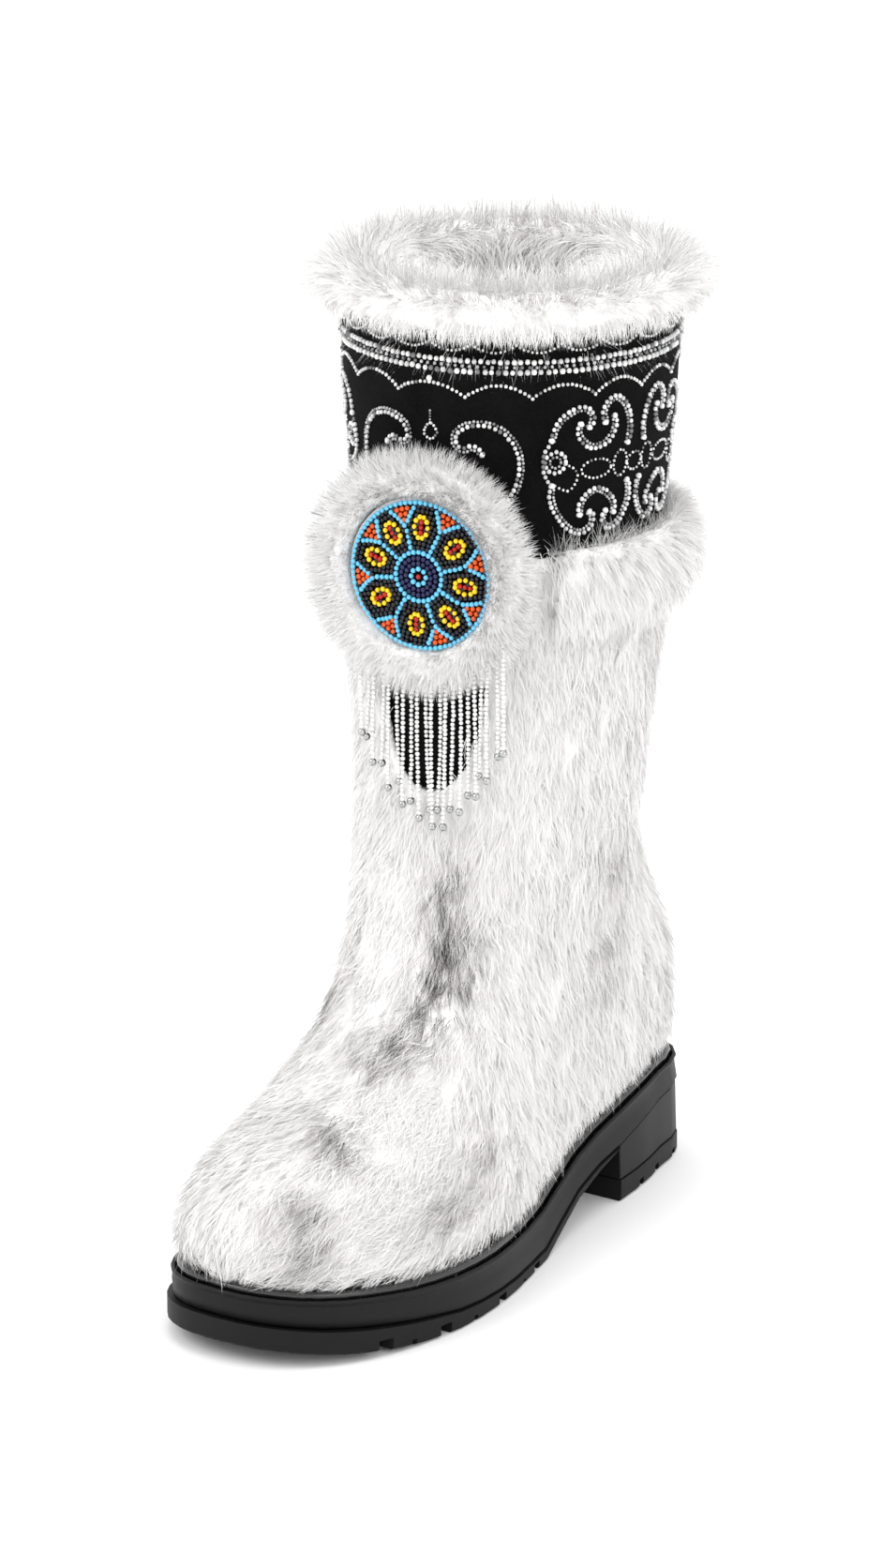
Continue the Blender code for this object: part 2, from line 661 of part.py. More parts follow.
def make_collar_fur():
    """Fur ring round the opening, slotted below for the top of the suede shaft."""
    stations = round_stations(COLLAR_STATIONS)
    level = shaft_level(COLLAR_MIDDLE - COLLAR_DROP)
    skin = FUR_WALL + FIT_GAP
    rings = []
    for angle in np.linspace(0, 2 * math.pi, 8, endpoint=False) + math.pi / 8:
        side = math.cos(angle)
        lift = math.sin(angle)
        out = COLLAR_OUT * side if side > 0 else COLLAR_IN * side
        tall = COLLAR_RISE if lift > 0 else COLLAR_DROP
        ring = form_ring(stations, level, skin - out)
        ring[:, 2] = COLLAR_MIDDLE + lift * tall
        rings.append(ring)
    bm = bmesh.new()
    add_rings(bm, rings + rings[:1])
    bmesh.ops.remove_doubles(bm, verts=bm.verts, dist=0.00001)
    bmesh.ops.recalc_face_normals(bm, faces=bm.faces)
    rng = np.random.default_rng(SEED + 1)
    picked = [face for face in bm.faces if face.normal.z > -0.6 and rng.random() < 0.62]
    grow_locks(bm, picked, COLLAR_LOCK, Vector((0, 0, 0.05)), rng)
    collar = finish(bm, "collar_fur", WHITE_FUR)

    stations = round_stations(STATIONS)
    low = shaft_level(COLLAR_MIDDLE - 2 * COLLAR_DROP)
    top = shaft_level(SUEDE_TOP)
    outer = skin - FIT_GAP
    inner = skin + SUEDE_WALL + FIT_GAP
    rings = [form_ring(stations, level, depth)
             for depth, level in ((outer, low), (outer, top), (inner, top), (inner, low))]
    for ring in rings[1:3]:
        ring[:, 2] += FIT_GAP
    cut(collar, hoop("collar_slot", rings, None))


class Medallion:
    """Local frame of the medallion: right, up and out of the shaft's front."""

    def __init__(self):
        centre = shaft_centre(MEDAL_HEIGHT)
        level = np.array([shaft_level(MEDAL_HEIGHT)])
        share = through(FORM, "front", level)[0] - through(FORM, "back", level)[0]
        self.out = Vector((math.sin(FRONT_TURN), -math.cos(FRONT_TURN), 0))
        self.right = Vector((math.cos(FRONT_TURN), math.sin(FRONT_TURN), 0))
        self.middle = centre + self.out * (SOLE_LENGTH * share / 2 + FIT_GAP)

    def point(self, right, up, out):
        return self.middle + self.right * right + Vector((0, 0, up)) + self.out * out

    def frame(self, shift):
        """Matrix that turns a piece made about +Z to face out, shifted to the right."""
        turn = Matrix.Rotation(FRONT_TURN, 4, "Z") @ Matrix.Rotation(math.pi / 2, 4, "X")
        return Matrix.Translation(self.point(shift, 0, 0)) @ turn


def turned(name, profile, matrix, look, steps=28):
    """Piece turned about its own Z from a profile that runs from top to bottom."""
    bm = bmesh.new()
    verts = [bm.verts.new((radius, 0, z)) for radius, z in profile]
    for upper, lower in zip(verts, verts[1:]):
        bm.edges.new((upper, lower))
    piece = finish(bm, name, look)
    piece.matrix_world = matrix
    screw = piece.modifiers.new("turn", "SCREW")
    screw.angle = 2 * math.pi
    screw.steps = steps
    screw.render_steps = steps
    screw.use_merge_vertices = True
    screw.merge_threshold = 0.00001
    return piece


def shaft_cutter():
    """The outer form of fur and suede, grown by the fit gap, to seat the fur ring."""
    stations = round_stations(STATIONS)
    rings = []
    for drop in (0.072, 0.047, 0.022, 0):
        rings.append(form_ring(stations, shaft_level(FUR_TOP - drop), -FIT_GAP))
    rings[-1][:, 2] += FIT_GAP
    for rise in (0, 0.033, 0.058):
        rings.append(form_ring(stations, shaft_level(FUR_TOP + rise), FUR_WALL))
    rings[4][:, 2] += FIT_GAP
    return slab("shaft_form", stations, rings, None)


def make_medallion(medal):
    ring_middle = (MEDAL_RING_IN + MEDAL_RING_OUT) / 2
    ring_half = (MEDAL_RING_OUT - MEDAL_RING_IN) / 2
    strips = []
    for around in np.linspace(0, 2 * math.pi, 28, endpoint=False):
        strip = []
        for angle in np.linspace(0, 2 * math.pi, 8, endpoint=False):
            side = math.cos(angle)
            lift = math.sin(angle)
            radius = ring_middle + ring_half * side
            out = MEDAL_RING_FRONT * lift if lift > 0 else MEDAL_RING_BACK * lift
            strip.append(medal.point(radius * math.cos(around), radius * math.sin(around), out))
        strips.append(strip)
    bm = bmesh.new()
    add_rings(bm, strips + strips[:1])
    bmesh.ops.remove_doubles(bm, verts=bm.verts, dist=0.00001)
    bmesh.ops.recalc_face_normals(bm, faces=bm.faces)
    rng = np.random.default_rng(SEED + 2)
    radiating = []
    forward = []
    for face in bm.faces:
        spot = face.calc_center_median() - medal.middle
        facing = face.normal.dot(medal.out)
        if rng.random() > 0.85 or math.hypot(spot.dot(medal.right), spot.z) < ring_middle:
            continue
        if spot.z > -FRINGE_CLEAR and facing > -0.2:
            radiating.append(face)
        elif facing > 0.5:
            forward.append(face)
    grow_locks(bm, radiating, MEDAL_LOCK, Vector((0, 0, 0)), rng)
    grow_locks(bm, forward, MEDAL_LOCK, medal.out * 1.5, rng)
    ring = finish(bm, "medallion_fur", WHITE_FUR)
    cut(ring, shaft_cutter())

    edge = MEDAL_RING_IN - FIT_GAP
    bevel = 0.0005
    profile = ((0, BACKING_THICK), (edge - bevel, BACKING_THICK), (edge, BACKING_THICK - bevel),
               (edge, 0), (0, 0))
    turned("medallion_backing", profile, medal.frame(0.0), PALE_LEATHER)
    low = BACKING_THICK + FIT_GAP
    rim = low + BEAD_DISC_THICK
    radius = BEAD_DISC_RADIUS
    profile = [(0, rim + BEAD_DISC_DOME)]
    for part in (0.35, 0.65, 0.88):
        profile.append((radius * part, rim + BEAD_DISC_DOME * (1 - part * part)))
    profile += [(radius - bevel, rim), (radius, rim - bevel), (radius, low), (0, low)]
    turned("bead_disc", profile, medal.frame(BEAD_DISC_SHIFT), NAVY_BEADS)


def make_fringe(medal):
    """Curved header under the fur ring, with bead strings that end in balls."""
    half = HEADER_THICK / 2
    radius = MEDAL_RING_OUT - HEADER_NEST + half
    first = math.asin(max((FRINGE_SHIFT - FRINGE_HALF - half) / radius, -0.99))
    last = math.asin(min((FRINGE_SHIFT + FRINGE_HALF + half) / radius, 0.99))
    bm = bmesh.new()
    rings = []
    for angle in np.linspace(first, last, 13):
        ring = []
        for away, out in ((-half, -half), (half, -half), (half, half), (-half, half)):
            right = (radius + away) * math.sin(angle)
            up = -(radius + away) * math.cos(angle)
            ring.append(medal.point(right, up, FRINGE_PLANE + out * 2))
        rings.append(ring)
    made = add_rings(bm, rings)
    bm.faces.new(made[0])
    bm.faces.new(made[-1])
    header = finish(bm, "fringe", PEARL_BEADS)

    bm = bmesh.new()
    for number in range(FRINGE_STRINGS):
        part = 2 * number / (FRINGE_STRINGS - 1) - 1
        behind = number % 2
        right = FRINGE_SHIFT + FRINGE_HALF * part
        start = -math.sqrt(radius ** 2 - right ** 2)
        lift = FRINGE_SIDE_LIFT * abs(part) ** 1.6 + BALL_RADIUS * 2.6 * behind
        end = FRINGE_LOW + lift - medal.middle.z
        out = FRINGE_PLANE + half * (0.9 - 1.8 * behind)
        profile = (
            (STRING_RADIUS, start),
            (STRING_RADIUS, end + 1.75 * BALL_RADIUS),
            (BALL_RADIUS, end + 1.35 * BALL_RADIUS),
            (BALL_RADIUS, end + 0.65 * BALL_RADIUS),
            (BALL_RADIUS * 0.4, end),
        )
        rings = []
        for wide, up in profile:
            turns = [2 * math.pi * k / 4 for k in range(4)]
            rings.append([medal.point(right + wide * math.cos(turn), up, out + wide * math.sin(turn))
                          for turn in turns])
        made = add_rings(bm, rings)
        bm.faces.new(made[0])
        bm.faces.new(made[-1])
    strings = finish(bm, "fringe_strings", None)
    join = header.modifiers.new("strings", "BOOLEAN")
    join.operation = "UNION"
    join.solver = "EXACT"
    join.object = strings


for old in list(bpy.data.objects):
    bpy.data.objects.remove(old, do_unlink=True)
BOOT = bpy.data.collections.new("fur_boot")
CUTTERS = bpy.data.collections.new("cutters")
bpy.context.scene.collection.children.link(BOOT)
bpy.context.scene.collection.children.link(CUTTERS)

make_outsole()
make_heel()
make_midsole()
make_welt()
make_insole()
make_upper()
make_suede_shaft()
make_fur_cuff()
make_collar_fur()
MEDAL = Medallion()
make_medallion(MEDAL)
make_fringe(MEDAL)
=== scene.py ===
import logging
import math
from collections.abc import Sequence
from dataclasses import dataclass, field, replace
from enum import Enum

import bpy
import numpy as np
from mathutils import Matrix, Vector


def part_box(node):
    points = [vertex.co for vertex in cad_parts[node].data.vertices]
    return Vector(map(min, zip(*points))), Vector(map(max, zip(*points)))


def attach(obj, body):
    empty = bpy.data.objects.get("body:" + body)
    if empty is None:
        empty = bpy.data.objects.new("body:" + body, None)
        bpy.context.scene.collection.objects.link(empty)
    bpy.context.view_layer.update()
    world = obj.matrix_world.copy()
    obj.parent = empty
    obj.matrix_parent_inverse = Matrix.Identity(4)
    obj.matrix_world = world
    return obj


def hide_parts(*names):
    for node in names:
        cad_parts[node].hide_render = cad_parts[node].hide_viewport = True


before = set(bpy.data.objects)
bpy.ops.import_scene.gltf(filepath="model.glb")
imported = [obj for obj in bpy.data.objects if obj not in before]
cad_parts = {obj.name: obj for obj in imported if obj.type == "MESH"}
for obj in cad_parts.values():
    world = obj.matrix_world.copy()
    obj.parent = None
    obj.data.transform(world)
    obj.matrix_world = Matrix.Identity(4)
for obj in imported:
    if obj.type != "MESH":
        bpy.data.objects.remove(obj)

Array = np.ndarray
log = logging.getLogger("fur_boot")
UP = np.array([0.0, 0.0, 1.0])
FRONT_TURN = math.radians(5.0)
FULL_TURN = 2 * math.pi
BAKE_MAP = "OFBake"


class Slot(Enum):
    """The record's material slots, passed along with the pieces here."""

    RUBBER = "black_rubber"
    WELT = "black_welt"
    FUR = "white_fur"
    SUEDE = "black_suede"
    LEATHER = "pale_leather"
    NAVY = "navy_beads"
    PEARL = "pearl_beads"


class Bead(Enum):
    """Colours of the glass beads, as columns of the palette."""

    PEARL = 0
    CLEAR = 1
    SKY = 2
    NIGHT = 3
    NAVY = 4
    YELLOW = 5
    RED = 6
    ORANGE = 7
    SILVER = 8
    SHADE = 9


BEAD_COLOURS = (
    (0.80, 0.80, 0.79), (0.42, 0.43, 0.44), (0.13, 0.52, 0.78), (0.006, 0.006, 0.010),
    (0.010, 0.010, 0.060), (0.88, 0.60, 0.010), (0.42, 0.006, 0.004), (0.72, 0.085, 0.006),
    (0.60, 0.60, 0.60), (0.17, 0.17, 0.175),
)


def unit(vectors: Array) -> Array:
    """Vectors divided by their length."""
    return vectors / np.maximum(np.linalg.norm(vectors, axis=-1, keepdims=True), 1e-12)


def ease(low: float, high: float, value: Array) -> Array:
    """Smooth step 3t^2 - 2t^3, with t running from 0 at low to 1 at high."""
    t = np.clip((value - low) / (high - low), 0, 1)
    return t * t * (3 - 2 * t)


def dot(a: Array, b: Array) -> Array:
    """Dot product along the last axis, kept as a column."""
    return (a * b).sum(-1, keepdims=True)


def around(turn: Array) -> Array:
    """Level directions at angles from the front towards the outer side."""
    return np.stack([np.sin(turn), -np.cos(turn), 0 * turn], -1)


def grid_faces(rows: int, columns: int, wrap: bool = True) -> Array:
    """Two triangles for each cell of a grid of points, row by row.

    Args:
        rows: number of rows of points.
        columns: number of points in a row.
        wrap: whether the last column joins the first.

    Returns:
        Three point numbers for each triangle.
    """
    row = np.arange(rows - 1)[:, None] * columns
    column = np.arange(columns if wrap else columns - 1)[None]
    a, b = row + column, row + (column + 1) % columns
    c, d = a + columns, b + columns
    return np.stack([a, b, d, a, d, c], -1).reshape(-1, 3)


def build(name: str, points: Array, faces: Array, uv: Array | None = None,
          normals: Array | None = None) -> bpy.types.Object:
    """Put arrays of points and triangles into a new mesh object.

    Args:
        name: the piece's name.
        points: one row for each vertex, in metres.
        faces: three vertex numbers for each triangle.
        uv: palette place of each vertex, or None.
        normals: shading normal of each vertex, or None.

    Returns:
        The linked object, at the origin.
    """
    mesh = bpy.data.meshes.new(name)
    mesh.vertices.add(len(points))
    mesh.vertices.foreach_set("co", np.asarray(points, np.float32).ravel())
    mesh.loops.add(faces.size)
    mesh.loops.foreach_set("vertex_index", faces.astype(np.int32).ravel())
    mesh.polygons.add(len(faces))
    mesh.polygons.foreach_set("loop_start", np.arange(0, faces.size, 3, dtype=np.int32))
    mesh.polygons.foreach_set("use_smooth", np.ones(len(faces), bool))
    mesh.update(calc_edges=True)
    if uv is not None:
        layer = mesh.uv_layers.new(name=BAKE_MAP)
        layer.data.foreach_set("uv", uv[faces.ravel()].astype(np.float32).ravel())
    if normals is not None:
        mesh.normals_split_custom_set_from_vertices(normals.astype(np.float32))
    piece = bpy.data.objects.new(name, mesh)
    bpy.context.scene.collection.objects.link(piece)
    return piece


def settle(piece: bpy.types.Object, slot: Slot, material: bpy.types.Material,
           *stands_for: str) -> bpy.types.Object:
    """Give a piece its material and tie it to the frame.

    Args:
        piece: the finished piece.
        slot: the record's material slot; not used.
        material: its finish.
        stands_for: CAD nodes that it replaces.

    Returns:
        The same piece.
    """
    piece.data.materials.clear()
    piece.data.materials.append(material)
    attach(piece, "root")
    if stands_for:
        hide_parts(*stands_for)
    log.info("%s: %d triangles", piece.name, len(piece.data.polygons))
    return piece


def finish(material: bpy.types.Material, node: str) -> None:
    """Give a CAD node that stays in the picture its material.

    Args:
        material: its finish.
        node: the node's name.
    """
    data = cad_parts[node].data
    data.materials.clear()
    data.materials.append(material)
    log.info("%s: %d triangles", node, len(data.polygons))


class Signal:
    """A number in a shader, which plain operators turn into Math nodes."""

    def __init__(self, tree: "Tree", socket: bpy.types.NodeSocket) -> None:
        """Keep the socket and the tree that it lives in."""
        self.tree = tree
        self.socket = socket

    def _math(self, operation: str, first: object, second: object) -> "Signal":
        """Add one Math node."""
        node = self.tree.node("ShaderNodeMath", {"operation": operation}, {0: first, 1: second})
        return Signal(self.tree, node.outputs[0])

    def __add__(self, other: object) -> "Signal":
        """Sum."""
        return self._math("ADD", self, other)

    def __mul__(self, other: object) -> "Signal":
        """Product."""
        return self._math("MULTIPLY", self, other)

    __radd__ = __add__
    __rmul__ = __mul__


class Tree:
    """Node tree of one material, made by formula."""

    def __init__(self, name: str) -> None:
        """Start an empty material.

        Args:
            name: the material's name.
        """
        self.material = bpy.data.materials.new(name)
        self.material.use_nodes = True
        self.tree = self.material.node_tree
        self.tree.nodes.clear()

    def node(self, kind: str, settings: dict | None = None,
             inputs: dict | None = None) -> bpy.types.Node:
        """Add a node.

        Args:
            kind: Blender's name of the node type.
            settings: values set on the node first. A ramp takes a list as "stops".
            inputs: a value, socket or Signal for each input's name or number.

        Returns:
            The new node.
        """
        node = self.tree.nodes.new(kind)
        for key, value in (settings or {}).items():
            if key == "stops":
                self._stops(node.color_ramp, value)
            elif key == "interpolation":
                node.color_ramp.interpolation = value
            else:
                setattr(node, key, value)
        for key, value in (inputs or {}).items():
            if isinstance(value, Signal):
                value = value.socket
            if isinstance(value, bpy.types.NodeSocket):
                self.tree.links.new(value, node.inputs[key])
            else:
                node.inputs[key].default_value = value
        return node

    @staticmethod
    def _stops(ramp: bpy.types.ColorRamp, stops: Sequence[tuple]) -> None:
        """Write a ramp's stops, each a place and a colour or a grey.

        Args:
            ramp: the ramp.
            stops: its stops, in order.
        """
        while len(ramp.elements) < len(stops):
            ramp.elements.new(0.5)
        for element, (place, colour) in zip(ramp.elements, stops):
            shade = colour if isinstance(colour, tuple) else (colour,) * 3
            element.position = place
            element.color = (*shade, 1.0)

    def signal(self, node: bpy.types.Node, output: str | int = 0) -> Signal:
        """A node's output, ready for a formula."""
        return Signal(self, node.outputs[output])

    def noise(self, scale: float, detail: float = 3.0, rough: float = 0.55) -> Signal:
        """Noise on the piece's own coordinates."""
        place = self.node("ShaderNodeTexCoord").outputs["Object"]
        return self.signal(self.node("ShaderNodeTexNoise", None, {
            "Vector": place, "Scale": scale, "Detail": detail, "Roughness": rough}))

    def palette(self, axis: int) -> Signal:
        """The palette's u (axis 0) or v (axis 1) at a point of the piece."""
        place = self.node("ShaderNodeUVMap", {"uv_map": BAKE_MAP}).outputs[0]
        return self.signal(self.node("ShaderNodeSeparateXYZ", None, {0: place}), axis)

    def ramp(self, value: Signal, stops: Sequence[tuple],
             hold: bool = False) -> bpy.types.NodeSocket:
        """Colour ramp over a number, stepped where hold is set."""
        kind = "CONSTANT" if hold else "LINEAR"
        return self.node("ShaderNodeValToRGB", {"interpolation": kind, "stops": stops},
                         {0: value}).outputs[0]

    def bump(self, height: Signal, strength: float, distance: float) -> bpy.types.NodeSocket:
        """Bump from a height between 0 and 1."""
        return self.node("ShaderNodeBump", None, {
            "Height": height, "Strength": strength, "Distance": distance}).outputs[0]

    def close(self, **inputs: object) -> bpy.types.Material:
        """Finish with one Principled shader; underscores in names stand for spaces.

        Args:
            inputs: value, socket or Signal of each input that is set.

        Returns:
            The finished material.
        """
        named = {key.replace("_", " "): value for key, value in inputs.items()}
        shader = self.node("ShaderNodeBsdfPrincipled", None, named)
        self.node("ShaderNodeOutputMaterial", None, {0: shader.outputs[0]})
        return self.material


@dataclass(frozen=True)
class FurFinish:
    """Hair: the palette's u runs from white to black, and v from root to tip, along which the roots
    are painted a little darker as painted shade.
    """

    name: str = "long_fur"
    light: tuple = (0.988, 0.976, 0.970)
    grey: tuple = (0.36, 0.345, 0.335)
    dark: tuple = (0.05, 0.045, 0.045)

    def make(self) -> bpy.types.Material:
        """Build the material.

        Returns:
            The finished material.
        """
        tree = Tree(self.name)
        tone = tree.ramp(tree.palette(0), ((0, self.light), (0.5, self.grey), (1, self.dark)))
        # painted shade: the roots, where the hairs crowd and shade each other, are painted a little
        # darker than the tips
        shade = tree.ramp(tree.palette(1), ((0, 0.97), (0.35, 0.99), (0.8, 1.0)))
        colour = tree.node("ShaderNodeMix", {"data_type": "RGBA", "blend_type": "MULTIPLY"},
                           {0: 1.0, 6: tone, 7: shade}).outputs[2]
        return tree.close(Base_Color=colour, Roughness=0.62, Sheen_Weight=0.3,
                          Sheen_Roughness=0.5, Specular_IOR_Level=0.25,
                          Subsurface_Weight=0.3, Subsurface_Scale=0.001,
                          Subsurface_Radius=(1.0, 0.97, 0.95))


@dataclass(frozen=True)
class HideFinish:
    """Dense underfur that shows between the hairs."""

    name: str = "underfur"
    low: tuple = (0.93, 0.92, 0.91)
    high: tuple = (0.985, 0.975, 0.965)

    def make(self) -> bpy.types.Material:
        """Build the material.

        Returns:
            The finished material.
        """
        tree = Tree(self.name)
        fine, soft = tree.noise(900), tree.noise(45)
        colour = tree.ramp(fine * 0.5 + soft * 0.5, ((0.3, self.low), (0.6, self.high)))
        return tree.close(Base_Color=colour, Roughness=0.9, Sheen_Weight=0.3,
                          Normal=tree.bump(fine, 0.6, 0.001))


@dataclass(frozen=True)
class SuedeFinish:
    """Black suede with a short nap that catches the light in patches."""

    name: str = "suede_nap"
    low: tuple = (0.0015, 0.0015, 0.0015)
    high: tuple = (0.007, 0.0065, 0.0065)

    def make(self) -> bpy.types.Material:
        """Build the material.

        Returns:
            The finished material.
        """
        tree = Tree(self.name)
        nap, patch = tree.noise(1400, 4), tree.noise(60, 4)
        colour = tree.ramp(nap * 0.55 + patch * 0.45, ((0.35, self.low), (0.7, self.high)))
        return tree.close(Base_Color=colour, Roughness=0.95, Sheen_Weight=0.015,
                          Specular_IOR_Level=0.06, Normal=tree.bump(nap, 0.35, 0.0004))


@dataclass(frozen=True)
class RubberFinish:
    """Moulded black rubber, matt, with a fine mould grain and a few scuffs."""

    name: str = "moulded_rubber"
    rough: float = 0.50
    tint: float = 0.0035

    def make(self) -> bpy.types.Material:
        """Build the material.

        Returns:
            The finished material.
        """
        tree = Tree(self.name)
        grain, cloud = tree.noise(2600, 2), tree.noise(28, 5, 0.6)
        colour = tree.ramp(cloud, ((0.35, self.tint * 0.8), (0.7, self.tint * 1.25)))
        return tree.close(Base_Color=colour, Roughness=cloud * 0.16 + (self.rough - 0.08),
                          Specular_IOR_Level=0.22, Normal=tree.bump(grain, 0.12, 0.0002))


@dataclass(frozen=True)
class WeltFinish:
    """Shiny black strip between fur and rubber."""

    name: str = "welt_gloss"

    def make(self) -> bpy.types.Material:
        """Build the material.

        Returns:
            The finished material.
        """
        tree = Tree(self.name)
        wave = tree.noise(240, 3)
        return tree.close(Base_Color=tree.ramp(wave, ((0.3, 0.002), (0.8, 0.005))),
                          Roughness=wave * 0.2 + 0.16, Coat_Weight=0.5, Coat_Roughness=0.12,
                          Normal=tree.bump(wave, 0.2, 0.0005))


@dataclass(frozen=True)
class BeadFinish:
    """Glass seed beads, each coloured by its column of the palette."""

    name: str = "seed_beads"

    def make(self) -> bpy.types.Material:
        """Build the material.

        Returns:
            The finished material.
        """
        tree = Tree(self.name)
        stops = [(k / len(BEAD_COLOURS), c) for k, c in enumerate(BEAD_COLOURS)]
        colour = tree.ramp(tree.palette(0), stops, hold=True)
        return tree.close(Base_Color=colour, Roughness=0.16, Coat_Weight=0.15,
                          Coat_Roughness=0.05, Specular_IOR_Level=0.35)


@dataclass(frozen=True)
class SilverFinish:
    """Polished silver balls."""

    name: str = "silver_ball"

    def make(self) -> bpy.types.Material:
        """Build the material.

        Returns:
            The finished material.
        """
        tree = Tree(self.name)
        smear = tree.noise(500, 2)
        return tree.close(Base_Color=tree.ramp(smear, ((0.3, 0.36), (0.7, 0.50))), Metallic=1.0,
                          Roughness=smear * 0.1 + 0.07)


@dataclass(frozen=True)
class LeatherFinish:
    """Pale smooth backing leather with faint creases."""

    name: str = "pale_hide"
    low: tuple = (0.62, 0.58, 0.55)
    high: tuple = (0.83, 0.80, 0.77)

    def make(self) -> bpy.types.Material:
        """Build the material.

        Returns:
            The finished material.
        """
        tree = Tree(self.name)
        grain, cloud = tree.noise(1100, 4), tree.noise(90, 4)
        colour = tree.ramp(grain * 0.4 + cloud * 0.6, ((0.3, self.low), (0.65, self.high)))
        return tree.close(Base_Color=colour, Roughness=cloud * 0.2 + 0.45,
                          Normal=tree.bump(grain, 0.25, 0.0003))


class NodeSkin:
    """Merged triangles of a CAD node, from which fur grows and shapes are read."""

    digits = 6
    rays_at_once = 200
    slack = 1e-6

    def __init__(self, name: str) -> None:
        """Read the node's mesh as arrays.

        Args:
            name: the CAD node's name.
        """
        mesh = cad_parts[name].data
        mesh.calc_loop_triangles()
        flat = np.empty(len(mesh.vertices) * 3, np.float32)
        mesh.vertices.foreach_get("co", flat)
        corners = np.empty(len(mesh.loop_triangles) * 3, np.int32)
        mesh.loop_triangles.foreach_get("vertices", corners)
        close = np.round(flat.reshape(-1, 3).astype(float), self.digits)
        self.points, index = np.unique(close, axis=0, return_inverse=True)
        faces = index.ravel()[corners].reshape(-1, 3)
        whole = (faces != np.roll(faces, 1, axis=1)).all(1)
        self.faces = faces[whole]
        corner = self.points[self.faces]
        cross = np.cross(corner[:, 1] - corner[:, 0], corner[:, 2] - corner[:, 0])
        self.areas = np.linalg.norm(cross, axis=1) / 2
        self.flats = unit(cross)
        self.centres = corner.mean(1)

    def smooth_normals(self, chosen: Array) -> Array:
        """Vertex normals as the area-weighted mean over the chosen triangles.

        Args:
            chosen: which triangles count.

        Returns:
            A unit vector for each vertex, or zero where no chosen triangle meets it.
        """
        total = np.zeros_like(self.points)
        weighted = self.flats * self.areas[:, None]
        for corner in range(3):
            np.add.at(total, self.faces[chosen, corner], weighted[chosen])
        return unit(total)

    def farthest(self, origins: Array, directions: Array) -> Array:
        """Distance along each ray to the last triangle that it crosses, or nan.

        It solves origin + t direction = a + u (b - a) + v (c - a) for each pair.

        Args:
            origins: start of each ray.
            directions: way of each ray.

        Returns:
            The largest t of each ray.
        """
        a, b, c = (self.points[self.faces[:, k]] for k in range(3))
        first, second = b - a, c - a
        result = np.full(len(origins), np.nan)
        shares = max(1, len(origins) // self.rays_at_once)
        for part in np.array_split(np.arange(len(origins)), shares):
            way = directions[part][:, None]
            cross = np.cross(way, second[None])
            scale = (first * cross).sum(-1)
            scale = np.where(np.abs(scale) < 1e-14, np.nan, scale)
            back = origins[part][:, None] - a[None]
            u = (back * cross).sum(-1) / scale
            other = np.cross(back, first[None])
            v = (way * other).sum(-1) / scale
            t = (second * other).sum(-1) / scale
            inside = (u >= -self.slack) & (v >= -self.slack) & (u + v <= 1 + self.slack)
            hit = inside & (t > 0)
            far = np.where(hit, t, -1).max(1)
            result[part] = np.where(far > 0, far, np.nan)
        return result

    def outline(self, middle: tuple, turns: Array) -> Array:
        """Outermost point in plan, in each direction from a middle point.

        It crosses each plan ray with each triangle edge and keeps the farthest crossing.

        Args:
            middle: x and y of the middle point.
            turns: angles from the front towards the outer side.

        Returns:
            A point for each angle.
        """
        a = self.points[self.faces].reshape(-1, 3)
        b = self.points[np.roll(self.faces, -1, axis=1)].reshape(-1, 3)
        way = around(turns)[:, None, :2]
        edge = (b - a)[None, :, :2]
        start = a[None, :, :2] - np.array(middle)
        scale = way[..., 0] * edge[..., 1] - way[..., 1] * edge[..., 0]
        scale = np.where(np.abs(scale) < 1e-12, np.nan, scale)
        far = (start[..., 0] * edge[..., 1] - start[..., 1] * edge[..., 0]) / scale
        along = (start[..., 0] * way[..., 1] - start[..., 1] * way[..., 0]) / scale
        hit = (along >= 0) & (along <= 1) & (far > 0)
        far = np.where(hit, far, -1)
        best = far.argmax(1)
        pick = np.arange(len(turns))
        height = a[best, 2] + (b - a)[best, 2] * along[pick, best]
        plan = np.array(middle) + way[:, 0] * far[pick, best][:, None]
        return np.column_stack([plan, height])


